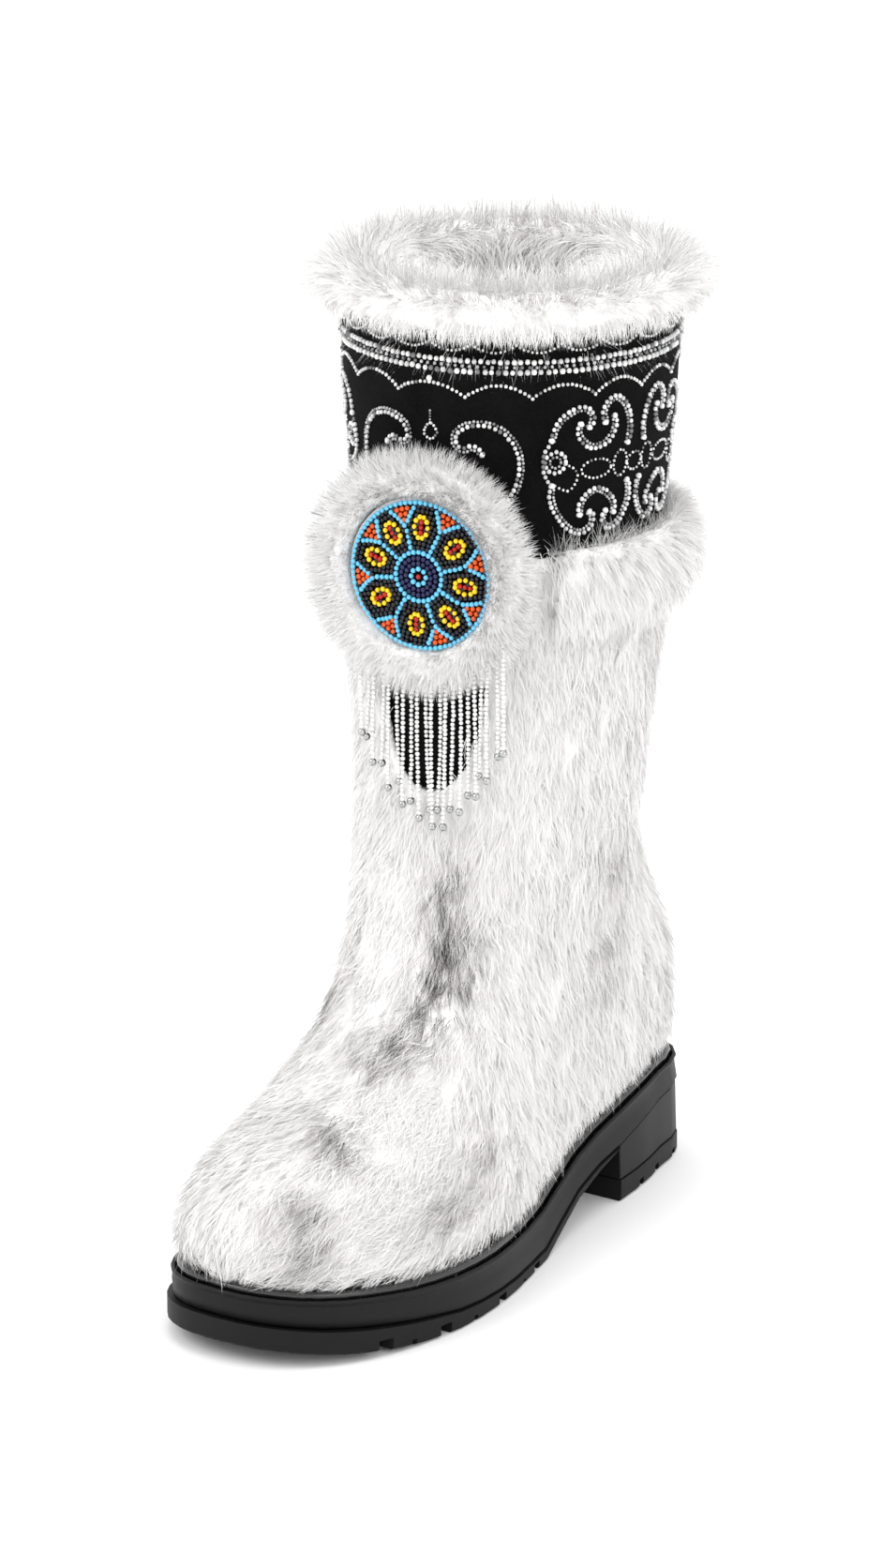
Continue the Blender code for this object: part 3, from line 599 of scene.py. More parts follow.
class Wrap:
    """Outer radius of a node round an upright axis, smoothed into one surface."""

    passes = 6

    def __init__(self, name: str, axis: Array, heights: Array, columns: int = 96) -> None:
        """Read the radii by rays at each height and angle.

        Args:
            name: the CAD node.
            axis: x and y of the upright axis.
            heights: heights of the rows, in metres.
            columns: number of angles round.
        """
        self.axis = np.asarray(axis)
        self.heights = heights
        self.columns = columns
        turn = np.arange(columns) * FULL_TURN / columns
        way = around(turn)
        radii = []
        skin = NodeSkin(name)
        for height in heights:
            start = np.tile([*self.axis, height], (columns, 1))
            found = skin.farthest(start, way)
            known = np.flatnonzero(~np.isnan(found))
            radii.append(np.interp(np.arange(columns), known, found[known], period=columns))
        radii = np.array(radii)
        for _ in range(self.passes):
            radii = (np.roll(radii, 1, 1) + 2 * radii + np.roll(radii, -1, 1)) / 4
        self.radii = radii

    def radius(self, angle: Array, height: Array) -> Array:
        """Radius at an angle from the front towards the outer side, and a height.

        Args:
            angle: from the front towards the outer side.
            height: in metres.

        Returns:
            The mean of the four nearest readings, weighted by closeness.
        """
        column = np.mod(angle / FULL_TURN * self.columns, self.columns)
        row = np.interp(height, self.heights, np.arange(len(self.heights)))
        r0 = np.clip(row.astype(int), 0, len(self.heights) - 2)
        c0 = column.astype(int) % self.columns
        fr, fc = row - r0, column - np.floor(column)
        c1 = (c0 + 1) % self.columns
        low = self.radii[r0, c0] * (1 - fc) + self.radii[r0, c1] * fc
        high = self.radii[r0 + 1, c0] * (1 - fc) + self.radii[r0 + 1, c1] * fc
        return low * (1 - fr) + high * fr

    def point(self, angle: Array, height: Array, out: Array | float = 0.0) -> Array:
        """Point on the surface, moved out along the horizontal radius.

        Args:
            angle: from the front towards the outer side.
            height: in metres.
            out: how far to move out.

        Returns:
            Points, with x, y and z along the last axis.
        """
        angle, height = np.broadcast_arrays(np.asarray(angle, float), np.asarray(height, float))
        far = self.radius(angle, height) + out
        return np.stack([self.axis[0] + far * np.sin(angle),
                         self.axis[1] - far * np.cos(angle), height], -1)


@dataclass(frozen=True)
class Coat:
    """A coat of hair: how its strands are cut, and the seed of its random numbers.

    twist rolls the ribbons about their length, fuzz scatters their shading, and sky turns
    it upwards.
    """

    length: float
    width: float
    segments: int
    sky: float
    seed: int = 0
    twist: float = 0.9
    fuzz: float = 0.08
    taper: float = 0.55
    half_column: float = 0.006

    def grow(self, name: str, roots: Array, normals: Array, start: Array, end: Array,
             tone: Array, length: Array | float = 1.0) -> bpy.types.Object:
        """Grow one ribbon for each root.

        A strand is the path root + L (s t + (e - s) t^2 / 2), which leaves the root along
        s and ends along e. Its ribbon lies across the path, and tapers to a point.

        Args:
            name: the piece's name.
            roots: root of each strand.
            normals: surface normal at each root.
            start: unit direction at the root.
            end: direction at the tip.
            tone: 0 for white to 1 for black, for each strand.
            length: factor on the coat's length.

        Returns:
            The piece, without its material.
        """
        rng = np.random.default_rng(self.seed)
        count, parts = len(roots), self.segments
        t = np.linspace(0, 1, parts + 1)[None, :, None]
        size = np.broadcast_to(self.length * np.asarray(length), (count,))[:, None, None]
        path = roots[:, None] + size * (start[:, None] * t + (end - start)[:, None] * t * t / 2)
        lean = unit(start + end)
        side = unit(np.cross(lean, normals))
        roll = rng.uniform(-self.twist, self.twist, (count, 1))
        side = (side * np.cos(roll) + unit(np.cross(side, lean)) * np.sin(roll))[:, None]
        thick = self.width * rng.uniform(0.7, 1.3, (count, 1, 1)) / 2
        half = side * thick * (1 - t[:, :-1]) ** self.taper
        path_left, path_right = path[:, :-1] - half, path[:, :-1] + half
        rows = np.stack([path_left, path_right], 2).reshape(count, 2 * parts, 3)
        points = np.concatenate([rows, path[:, -1:]], 1).reshape(-1, 3)
        k = np.arange(parts - 1) * 2
        body = np.stack([k, k + 1, k + 3, k, k + 3, k + 2], -1).reshape(-1, 3)
        tip = [[2 * parts - 2, 2 * parts - 1, 2 * parts]]
        local = np.concatenate([body, np.array(tip)])
        each = 2 * parts + 1
        faces = (local[None] + np.arange(count)[:, None, None] * each).reshape(-1, 3)
        across = np.concatenate([np.tile([-self.half_column, self.half_column], parts), [0.0]])
        along = np.concatenate([np.repeat(t[0, :-1, 0], 2), [1.0]]) * 0.96 + 0.02
        u = np.clip(tone[:, None], 0.01, 0.99) * 0.97 + 0.015 + across[None]
        uv = np.stack([u, np.broadcast_to(along, (count, each))], -1).reshape(-1, 2)
        lit = unit(normals + rng.normal(0, self.fuzz, (count, 3)) + 0.15 * lean + self.sky * UP)
        return build(name, points, faces, uv, np.repeat(lit, each, axis=0))


@dataclass(frozen=True)
class Patch:
    """A patch of grey guard hair: its middle, reach along each axis and strength."""

    place: tuple
    reach: tuple
    strength: float

    def at(self, points: Array) -> Array:
        """Strength at points, falling off as exp(-d^2) with d in reaches."""
        away = (points - np.array(self.place)) / (0.9 * np.array(self.reach))
        return self.strength * np.exp(-(away ** 2).sum(-1))


GREY_PATCHES = (
    Patch((0.012, -0.118, 0.153), (0.007, 0.015, 0.016), 0.42),
    Patch((0.016, -0.125, 0.133), (0.008, 0.016, 0.012), 0.72),
    Patch((0.018, -0.129, 0.118), (0.009, 0.016, 0.010), 0.90),
    Patch((0.018, -0.139, 0.103), (0.010, 0.016, 0.011), 0.40),
    Patch((0.008, -0.152, 0.095), (0.010, 0.014, 0.009), 0.48),
    Patch((0.010, -0.186, 0.082), (0.013, 0.008, 0.020), 0.40),
    Patch((0.016, -0.196, 0.074), (0.010, 0.007, 0.020), 0.34),
    Patch((0.022, -0.223, 0.058), (0.012, 0.012, 0.009), 0.36),
    Patch((0.028, -0.226, 0.042), (0.012, 0.012, 0.010), 0.34),
    Patch((0.051, -0.166, 0.046), (0.010, 0.018, 0.008), 0.30),
    Patch((0.048, -0.140, 0.060), (0.010, 0.012, 0.009), 0.22),
    Patch((0.055, -0.030, 0.232), (0.012, 0.012, 0.018), 0.20),
    Patch((0.038, -0.040, 0.143), (0.009, 0.012, 0.014), 0.30),
    Patch((0.036, -0.042, 0.112), (0.009, 0.018, 0.008), 0.26),
    Patch((0.034, -0.038, 0.094), (0.009, 0.014, 0.006), 0.36),
    Patch((-0.030, -0.130, 0.110), (0.012, 0.020, 0.022), 0.30),
    Patch((-0.046, -0.150, 0.060), (0.012, 0.022, 0.010), 0.30),
    Patch((-0.046, -0.060, 0.110), (0.012, 0.020, 0.014), 0.28),
    Patch((-0.004, 0.018, 0.160), (0.016, 0.012, 0.022), 0.30),
    Patch((-0.010, 0.034, 0.085), (0.018, 0.012, 0.016), 0.26),
)


def ripple(points: Array, pitch: float, phase: float) -> Array:
    """Slow wandering value from -1 to 1: a sum of three sines of skewed coordinates."""
    x, y, z = (points[:, k] * FULL_TURN / pitch for k in range(3))
    return (np.sin(x + 1.7 * np.sin(0.6 * z + phase)) + np.sin(1.3 * y - 0.8 * z + phase * 2)
            + np.sin(0.9 * z + 0.5 * x - phase)) / 3


@dataclass
class FurredUpper:
    """The furred hide of foot and leg, with its lining below the hairs."""

    depth: float = 0.0030
    clump: int = 6
    clump_reach: float = 0.0019
    gather: float = 0.30
    split_height: float = 0.128
    foot_strands: int = 63000
    leg_strands: int = 63000
    short: float = 0.70
    guards: float = 0.06
    guard_lift: float = 0.25
    guard_length: float = 1.25
    veer: float = 0.32
    lift: tuple = (0.22, 0.62)
    uneven: float = 0.07
    stray: float = 0.24
    short_from: float = 0.004
    full_from: float = 0.022
    brindle_pitch: float = 0.010
    foot_seed: int = 21
    leg_seed: int = 22
    coat: Coat = Coat(length=0.0122, width=0.00028, segments=2, sky=0.25)
    spine: tuple = ((-0.0045, -0.049, 0.40), (-0.0045, -0.052, 0.12), (0, -0.075, 0.075),
                    (0, -0.15, 0.045), (0, -0.235, 0.035))

    def __post_init__(self) -> None:
        """Read the upper and choose the triangles that face away from its spine."""
        self.skin = NodeSkin("upper")
        spine = np.array(self.spine)
        steps = spine[1:] - spine[:-1]
        away = self.skin.centres[:, None] - spine[None, :-1]
        t = np.clip((away * steps).sum(-1) / (steps ** 2).sum(-1), 0, 1)
        gap = away - t[..., None] * steps
        nearest = np.linalg.norm(gap, axis=-1).argmin(1)
        outward = unit(gap[np.arange(len(gap)), nearest])
        facing = (outward * self.skin.flats).sum(1)
        self.outer = (facing > 0.25) & (self.skin.flats[:, 2] > -0.75)
        self.normals = self.skin.smooth_normals(self.outer)

    def hide(self) -> bpy.types.Object:
        """The wall below the hairs: outer vertices move in along their normals.

        Returns:
            The piece, without its material.
        """
        moved = self.skin.points.copy()
        rim = np.unique(self.skin.faces[self.outer])
        moved[rim] -= self.normals[rim] * self.depth
        piece = build("fur_hide", moved, self.skin.faces)
        smooth = piece.modifiers.new("smooth", "SUBSURF")
        smooth.levels = smooth.render_levels = 1
        return piece

    def flow(self, points: Array, normals: Array) -> Array:
        """Combing: down the leg, turning towards the toe over the instep.

        Args:
            points: where to comb.
            normals: surface normals there.

        Returns:
            Unit directions along the surface, turned a little by slow ripples.
        """
        fore = ease(0.095, 0.155, -points[:, 1]) * ease(-0.17, -0.105, -points[:, 2])
        way = np.stack([0.25 * points[:, 0] / 0.05 * fore, -0.95 * fore, -1 + 0.72 * fore], -1)
        way = unit(way - normals * dot(way, normals))
        across = np.cross(normals, way)
        turn = (0.24 * ripple(points, 0.085, 0.4) + 0.20 * ripple(points, 0.034, 2.0))[:, None]
        return way * np.cos(turn) + across * np.sin(turn)

    def above_welt(self, points: Array) -> Array:
        """Distance from each point to the nearest corner of the welt."""
        corners = NodeSkin("welt").points
        return np.concatenate([
            np.linalg.norm(part[:, None] - corners[None], axis=-1).min(1)
            for part in np.array_split(points, max(1, len(points) // 2000))])

    def strands(self, name: str, count: int, chosen: Array, seed: int) -> bpy.types.Object:
        """Grow the hair of one part in clumps that gather at their tips.

        Args:
            name: the piece's name.
            count: number of strands.
            chosen: which triangles carry it.
            seed: of its random numbers.

        Returns:
            The piece, without its material.
        """
        rng = np.random.default_rng(seed)
        clumps = count // self.clump
        share = self.skin.areas * chosen
        picked = rng.choice(len(share), clumps, p=share / share.sum())
        root = np.sqrt(rng.random(clumps))
        v = rng.random(clumps)
        weight = np.stack([1 - root, root * (1 - v), root * v], -1)[:, :, None]
        middle = (self.skin.points[self.skin.faces[picked]] * weight).sum(1)
        normal = unit((self.normals[self.skin.faces[picked]] * weight).sum(1))
        way = self.flow(middle, normal)
        across = np.cross(normal, way)
        veer = rng.normal(0, self.veer, (clumps, 1))
        way = way * np.cos(veer) + across * np.sin(veer)
        middle, normal, way, across = (
            np.repeat(a, self.clump, axis=0) for a in (middle, normal, way, across))
        total = len(middle)
        offset = rng.normal(0, self.clump_reach, (total, 2))
        roots = middle + way * offset[:, :1] + across * offset[:, 1:] - normal * self.depth
        lift = np.repeat(rng.uniform(*self.lift, clumps), self.clump)[:, None]
        lift = lift + rng.normal(0, self.uneven, (total, 1))
        guard = rng.random((total, 1)) < self.guards
        lift = np.where(guard, lift + self.guard_lift, lift)
        length = rng.uniform(0.7, 1.15, total) * np.where(guard[:, 0], self.guard_length, 1.0)
        above = ease(self.short_from, self.full_from, self.above_welt(roots))
        length *= self.short + (1 - self.short) * above
        size = (self.coat.length * length)[:, None]
        pull = -across * offset[:, 1:] * self.gather / size
        start = unit(way * np.cos(lift) + normal * np.sin(lift) + pull)
        droop = lift * 0.25 - 0.05
        end = unit(way * np.cos(droop) + normal * np.sin(droop) + pull * 2
                   + across * rng.normal(0, self.stray, (total, 1)))
        grey = sum(patch.at(roots) for patch in GREY_PATCHES)
        brindle = np.repeat(np.exp(rng.normal(-0.45, 1.05, clumps)), self.clump)
        bars = 1 + 0.9 * ripple(roots, self.brindle_pitch, 1.3)
        tone = grey * np.clip(brindle * bars, 0, 3) + np.abs(rng.normal(0, 0.018, total))
        coat = replace(self.coat, seed=seed + 1)
        return coat.grow(name, roots, normal, start, end, np.clip(tone, 0, 1), length)

    def dress(self, hide: bpy.types.Material, fur: bpy.types.Material) -> None:
        """Build hide, foot hair and leg hair.

        Args:
            hide: finish of the wall.
            fur: finish of the hair.
        """
        settle(self.hide(), Slot.FUR, hide, "upper")
        high = self.skin.centres[:, 2] > self.split_height
        for name, count, part, seed in (
                ("fur_foot", self.foot_strands, ~high, self.foot_seed),
                ("fur_leg", self.leg_strands, high, self.leg_seed)):
            settle(self.strands(name, count, self.outer & part, seed), Slot.FUR, fur)


@dataclass
class FurRoll:
    """A roll of long fur: a tube along a ring, with hair all round it.

    Each kind of roll gives its own centre line. The section is an ellipse with
    half-widths wide and tall along the outward and upward directions. Hair grows over
    the sweep of section angles, is combed away from the crest, and trim gives its
    length at section angles.
    """

    name: str
    node: str
    half_width: float
    tall: float
    strands: int
    coat: Coat
    crest: float
    sweep: tuple
    trim: tuple
    fall: float
    stand: float = 0.75
    closed: bool = True
    span: tuple = (0.0, FULL_TURN)
    rows: int = 73
    columns: int = 14
    clump: int = 5
    clump_reach: float = 0.0013
    clump_lean: float = 0.13
    hair_lean: float = 0.09
    uneven: float = 0.08
    root_depth: float = 0.9

    def centre(self, turn: Array) -> Array:
        """Centre line at ring angles."""
        raise NotImplementedError

    def outward(self, turn: Array) -> Array:
        """Direction away from the ring's middle."""
        return around(turn)

    def upward(self, turn: Array) -> Array:
        """Direction across the ring's plane."""
        return np.tile(UP, (len(turn), 1))

    def wide(self, turn: Array) -> Array:
        """Half-width of the section."""
        return self.half_width + 0 * turn

    def drift(self) -> Array:
        """Direction in which all the hair leans."""
        return -self.fall * UP

    def ring(self, turn: Array, section: Array, scale: float = 1.0) -> tuple[Array, Array, Array]:
        """Point, normal and combing direction at a ring angle and a section angle.

        The point is centre + wide cos(s) outward + tall sin(s) upward. Hair runs along
        the section, away from the crest.

        Args:
            turn: ring angles.
            section: section angles.
            scale: factor on the section's half-widths.

        Returns:
            Points, unit normals and combing directions.
        """
        out, up = self.outward(turn), self.upward(turn)
        wide = self.wide(turn)[:, None] * scale
        tall = self.tall * scale
        c, s = np.cos(section)[:, None], np.sin(section)[:, None]
        point = self.centre(turn) + out * wide * c + up * tall * s
        normal = unit(out * c / wide + up * s / tall)
        tangent = unit(-out * wide * s + up * tall * c)
        away = np.tanh((section - self.crest) * 2.2)[:, None]
        return point, normal, tangent * away

    def base(self) -> bpy.types.Object:
        """The tube below the hairs, as a grid of ring angle by section angle.

        Returns:
            The piece, without its material.
        """
        turn = np.linspace(*self.span, self.rows)
        section = np.arange(self.columns) * FULL_TURN / self.columns
        ring, cut = np.meshgrid(turn, section, indexing="ij")
        points = self.ring(ring.ravel(), cut.ravel())[0].reshape(self.rows, self.columns, 3)
        if self.closed:
            points[-1] = points[0]
        else:
            middle = self.centre(turn)
            points[0], points[-1] = middle[0], middle[-1]
        merged, index = np.unique(np.round(points.reshape(-1, 3), 7), axis=0, return_inverse=True)
        faces = index.ravel()[grid_faces(self.rows, self.columns)]
        faces = faces[(faces != np.roll(faces, 1, axis=1)).all(1)]
        corner = merged[faces]
        cross = np.cross(corner[:, 1] - corner[:, 0], corner[:, 2] - corner[:, 0])
        volume = (cross * (corner.mean(1) - merged.mean(0))).sum()
        return build(self.name + "_roll", merged, faces if volume > 0 else faces[:, ::-1])

    def hair(self) -> bpy.types.Object:
        """Hair over the tube, thick in clumps.

        Returns:
            The piece, without its material.
        """
        rng = np.random.default_rng(self.coat.seed)
        clumps = self.strands // self.clump
        turn = np.repeat(rng.uniform(*self.span, clumps), self.clump)
        section = np.repeat(rng.uniform(*self.sweep, clumps), self.clump)
        total = len(turn)
        across = self.centre(np.zeros(1)) - self.centre(np.full(1, math.pi))
        reach = float(np.linalg.norm(across)) / 2
        turn = turn + rng.normal(0, self.clump_reach / reach, total)
        section = section + rng.normal(0, self.uneven, total)
        point, normal, flow = self.ring(turn, section, self.root_depth)
        clump_way = np.repeat(rng.normal(0, self.clump_lean, (clumps, 3)), self.clump, axis=0)
        loose = rng.normal(0, self.hair_lean, (total, 3))
        up = self.stand + rng.normal(0, 0.1, (total, 1))
        drift = self.drift()
        start = unit(normal * up + flow * 0.45 + drift * 0.5 + clump_way + loose)
        end = unit(flow * 0.9 + normal * 0.45 + drift + clump_way * 1.6 + loose * 1.5)
        length = rng.uniform(0.62, 1.1, total) * np.interp(section, *np.array(self.trim).T)
        tone = np.abs(rng.normal(0, 0.012, total))
        return self.coat.grow(self.name, point, normal, start, end, tone, length)

    def dress(self, hide: bpy.types.Material, fur: bpy.types.Material) -> None:
        """Build the roll, which stands for its node, and its hair."""
        settle(self.base(), Slot.FUR, hide, self.node)
        settle(self.hair(), Slot.FUR, fur)


@dataclass
class Collar(FurRoll):
    """Fur ring round the opening, with hair that spills out and in."""

    name: str = "fur_collar"
    node: str = "collar_fur"
    middle: tuple = (-0.0044, -0.0488, 0.3685)
    radius: float = 0.0590
    half_width: float = 0.0135
    tall: float = 0.0070
    strands: int = 29000
    coat: Coat = Coat(length=0.0165, width=0.00029, segments=3, sky=0.8, seed=51)
    crest: float = 1.75
    sweep: tuple = (-0.9, 4.3)
    trim: tuple = ((-0.9, 0.42), (-0.1, 0.68), (0.7, 0.95), (2.2, 1.0), (2.9, 1.45), (4.3, 1.5))
    fall: float = 0.05

    def centre(self, turn: Array) -> Array:
        """A circle: middle + radius times the direction at the angle."""
        return np.array(self.middle) + self.radius * around(turn)


@dataclass
class Cuff(FurRoll):
    """Roll of fur along the top edge of the fur, open behind the medallion."""

    name: str = "fur_cuff_hair"
    node: str = "fur_cuff"
    axis: tuple = (-0.0044, -0.0500)
    read_heights: tuple = (0.250, 0.262, 0.272)
    height: float = 0.265
    sink: float = 0.0012
    front: float = math.radians(8.0)
    gap: float = math.radians(41)
    full: float = math.radians(85)
    thin: float = 0.50
    half_width: float = 0.0068
    tall: float = 0.0145
    strands: int = 24000
    coat: Coat = Coat(length=0.0145, width=0.00030, segments=3, sky=0.45, seed=61)
    crest: float = 1.9
    sweep: tuple = (-1.3, 2.9)
    trim: tuple = ((-1.3, 0.8), (0.5, 0.85), (1.4, 0.9), (2.0, 0.75), (2.9, 0.6))
    fall: float = 0.25
    closed: bool = False

    def __post_init__(self) -> None:
        """Read the leg's surface, and set where the roll starts and ends."""
        self.leg = Wrap("upper", np.array(self.axis), np.array(self.read_heights))
        self.span = (self.front + self.gap, self.front + FULL_TURN - self.gap)

    def centre(self, turn: Array) -> Array:
        """The leg's own outline at the roll's height, a little way in."""
        return self.leg.point(turn, np.full(len(turn), self.height), -self.sink)

    def wide(self, turn: Array) -> Array:
        """Half-width, from thin at the two ends to full away from the front.

        Args:
            turn: ring angles.

        Returns:
            The section's half-width at each.
        """
        past = np.mod(turn - self.front, FULL_TURN)
        aside = np.minimum(past, FULL_TURN - past)
        return self.half_width * (self.thin + (1 - self.thin) * ease(self.gap, self.full, aside))


def unit_ball(segments: int, rings: int) -> tuple[Array, Array, Array]:
    """A ball of radius 1 from a grid of turn and tilt, with its palette offsets.

    Args:
        segments: faces round the ball.
        rings: rows of faces.

    Returns:
        Points, triangles, and each point's offset in the palette.
    """
    turn = np.arange(segments) * FULL_TURN / segments
    tilt = np.linspace(-math.pi / 2, math.pi / 2, rings + 1)[1:-1]
    t, a = np.meshgrid(tilt, turn, indexing="ij")
    body = np.stack([np.cos(t) * np.cos(a), np.cos(t) * np.sin(a), np.sin(t)], -1)
    body = body.reshape(-1, 3)
    points = np.concatenate([body, [[0, 0, -1], [0, 0, 1]]])
    faces = grid_faces(rings - 1, segments)
    low, high, last = len(body), len(body) + 1, (rings - 2) * segments
    k = np.arange(segments)
    after = (k + 1) % segments
    foot = np.stack([after, k, np.full(segments, low)], -1)
    head = np.stack([last + k, last + after, np.full(segments, high)], -1)
    uv = np.stack([points[:, 0] * 0.05, 0.5 + points[:, 2] * 0.45], -1)
    return points, np.concatenate([faces, foot, head]), uv


def string_beads(name: str, centres: Array, radii: Array, colours: Array,
                 axes: Array | None = None, flat: float = 0.82, segments: int = 6,
                 rings: int = 4) -> bpy.types.Object:
    """Beads as one mesh: each is a ball, pressed flat along its thread.

    Args:
        name: the piece's name.
        centres: middle of each bead.
        radii: radius of each bead.
        colours: palette column of each bead.
        axes: direction of the thread at each bead, or None for round beads.
        flat: length along the thread as a share of the width.
        segments: faces round a bead.
        rings: rows of faces.

    Returns:
        The piece, without its material.
    """
    points, faces, uv = unit_ball(segments, rings)
    count = len(centres)
    local = np.repeat(points[None], count, axis=0)
    if axes is not None:
        helper = np.where(np.abs(axes[:, 2:]) > 0.9, [[1.0, 0, 0]], [[0, 0, 1.0]])
        x = unit(np.cross(axes, helper))
        y = np.cross(axes, x)
        local = (local[..., :1] * x[:, None] + local[..., 1:2] * y[:, None]
                 + local[..., 2:] * flat * axes[:, None])
    where = centres[:, None] + local * radii[:, None, None]
    all_faces = faces[None] + np.arange(count)[:, None, None] * len(points)
    shift = (colours[:, None] + 0.5) / len(BEAD_COLOURS)
    u = shift + uv[None, :, 0]
    v = np.broadcast_to(uv[None, :, 1], u.shape)
    return build(name, where.reshape(-1, 3), all_faces.reshape(-1, 3),
                 np.stack([u, v], -1).reshape(-1, 2))


def spaced(path: Array, pitch: float, closed: bool = False) -> Array:
    """Points at an even pitch along a polyline.

    Args:
        path: corners of the line.
        pitch: distance between the points.
        closed: whether the line ends where it starts.

    Returns:
        The points, with the last one of an open line at its end.
    """
    if closed:
        path = np.concatenate([path, path[:1]])
    steps = np.linalg.norm(np.diff(path, axis=0), axis=1)
    along = np.concatenate([[0], np.cumsum(steps)])
    count = max(2, int(round(along[-1] / pitch)) + (0 if closed else 1))
    stops = np.linspace(0, along[-1], count + (1 if closed else 0))[: count]
    return np.stack([np.interp(stops, along, path[:, k]) for k in range(path.shape[1])], -1)


def rounded(points: Sequence[tuple], steps: int = 8, closed: bool = False) -> Array:
    """Smooth curve through charted points, by Catmull-Rom cubics.

    Args:
        points: charted points.
        steps: points from one to the next.
        closed: whether the last leads to the first.

    Returns:
        Points of the curve.
    """
    p = np.array(points, float)
    ends = (p[-1:], p[:2]) if closed else (2 * p[:1] - p[1:2], 2 * p[-1:] - p[-2:-1])
    q = np.concatenate([ends[0], p, ends[1]])
    t = np.linspace(0, 1, steps, endpoint=False)[None, :, None]
    a, b, c, d = (q[k:len(q) - 3 + k, None] for k in range(4))
    curve = 0.5 * (2 * b + (c - a) * t + (2 * a - 5 * b + 4 * c - d) * t ** 2
                   + (3 * b - a - 3 * c + d) * t ** 3)
    curve = curve.reshape(-1, 2)
    return curve if closed else np.concatenate([curve, p[-1:]])


# The ornament, charted. Each pair is degrees round the shaft from the middle of
# its figure and millimetres above its middle line; the other half mirrors it.
SIDE_SCROLLS = (
    ((-34, 12.5), (-33, 16.5), (-31, 20), (-28, 22.5), (-24.5, 24), (-21.5, 23.5), (-19.5, 21),
     (-19.6, 18.5), (-20.8, 16.5)),
    ((-23.8, 18), (-24.6, 15.5), (-23.4, 12), (-20.5, 9.3), (-17, 8.6), (-13.5, 10), (-11.2, 13),
     (-10.4, 16.5), (-10.8, 19.5)),
    ((-14.4, 17.5), (-15.2, 21.5), (-13.5, 25.2), (-10, 26.5), (-6.4, 23.5), (-4.4, 19),
     (-3.6, 14.5), (-3.6, 11), (-4.2, 8)),
    ((-33.5, -5), (-34, -9.5), (-32.5, -14.5), (-29.5, -19.5), (-25.5, -23.3), (-21.5, -24),
     (-18.3, -21.5), (-18, -18.2), (-19.3, -16.5)),
    ((-23, -17.2), (-22.8, -13), (-20, -9.3), (-16, -8), (-11.6, -10.8), (-8.8, -15),
     (-8.8, -18.2)),
    ((-12.4, -17), (-13.6, -20.3), (-11, -23.8), (-6.8, -22.5), (-3.8, -18.5), (-2.2, -14),
     (-2.2, -9.8), (-3.2, -6.8)),
)
SIDE_EDGE = ((-34.2, 12), (-36.4, 8), (-37, 3.8), (-36.3, -0.8), (-34, -4.8))
SIDE_LEAF = ((-29.2, 3), (-26, 1.2), (-24.4, -2), (-25.4, -5.2), (-28, -7.4), (-31, -6))
SIDE_OVALS = ((-17.0, 0.0, 6.0, 3.6), (-6.9, 0.5, 3.0, 5.0), (0.0, 0.0, 3.6, 3.4))
FRONT_HORN = (
    ((18.6, 7), (15.6, 9.6), (11.6, 8.4), (9.0, 10.5), (9.4, 14.5), (13.0, 17.6), (18.6, 18.6),
     (24.6, 16.8), (29.2, 12), (31.4, 5.5), (31.4, -1), (29.4, -7.5), (25.6, -13), (20, -16.6)),
)
PENDANT = ((0, 17.4), (-2.5, 13.5), (0, 11.2), (2.5, 14.2))
PENDANT_THREAD = ((0, 17.6), (0, 22.0))
LONE_PEARL = (0.0, 34.5)
SCALLOPS = (0.0, 12.8, 35.5, 57.5, 77.5, 97.5, 118.0, 139.0, 160.0, 180.0)


@dataclass(frozen=True)
class BeadRow:
    """A row of beads: their radius in metres, colour, and pitch in bead radii."""

    size: float
    colour: Bead = Bead.PEARL
    pitch: float = 2.35


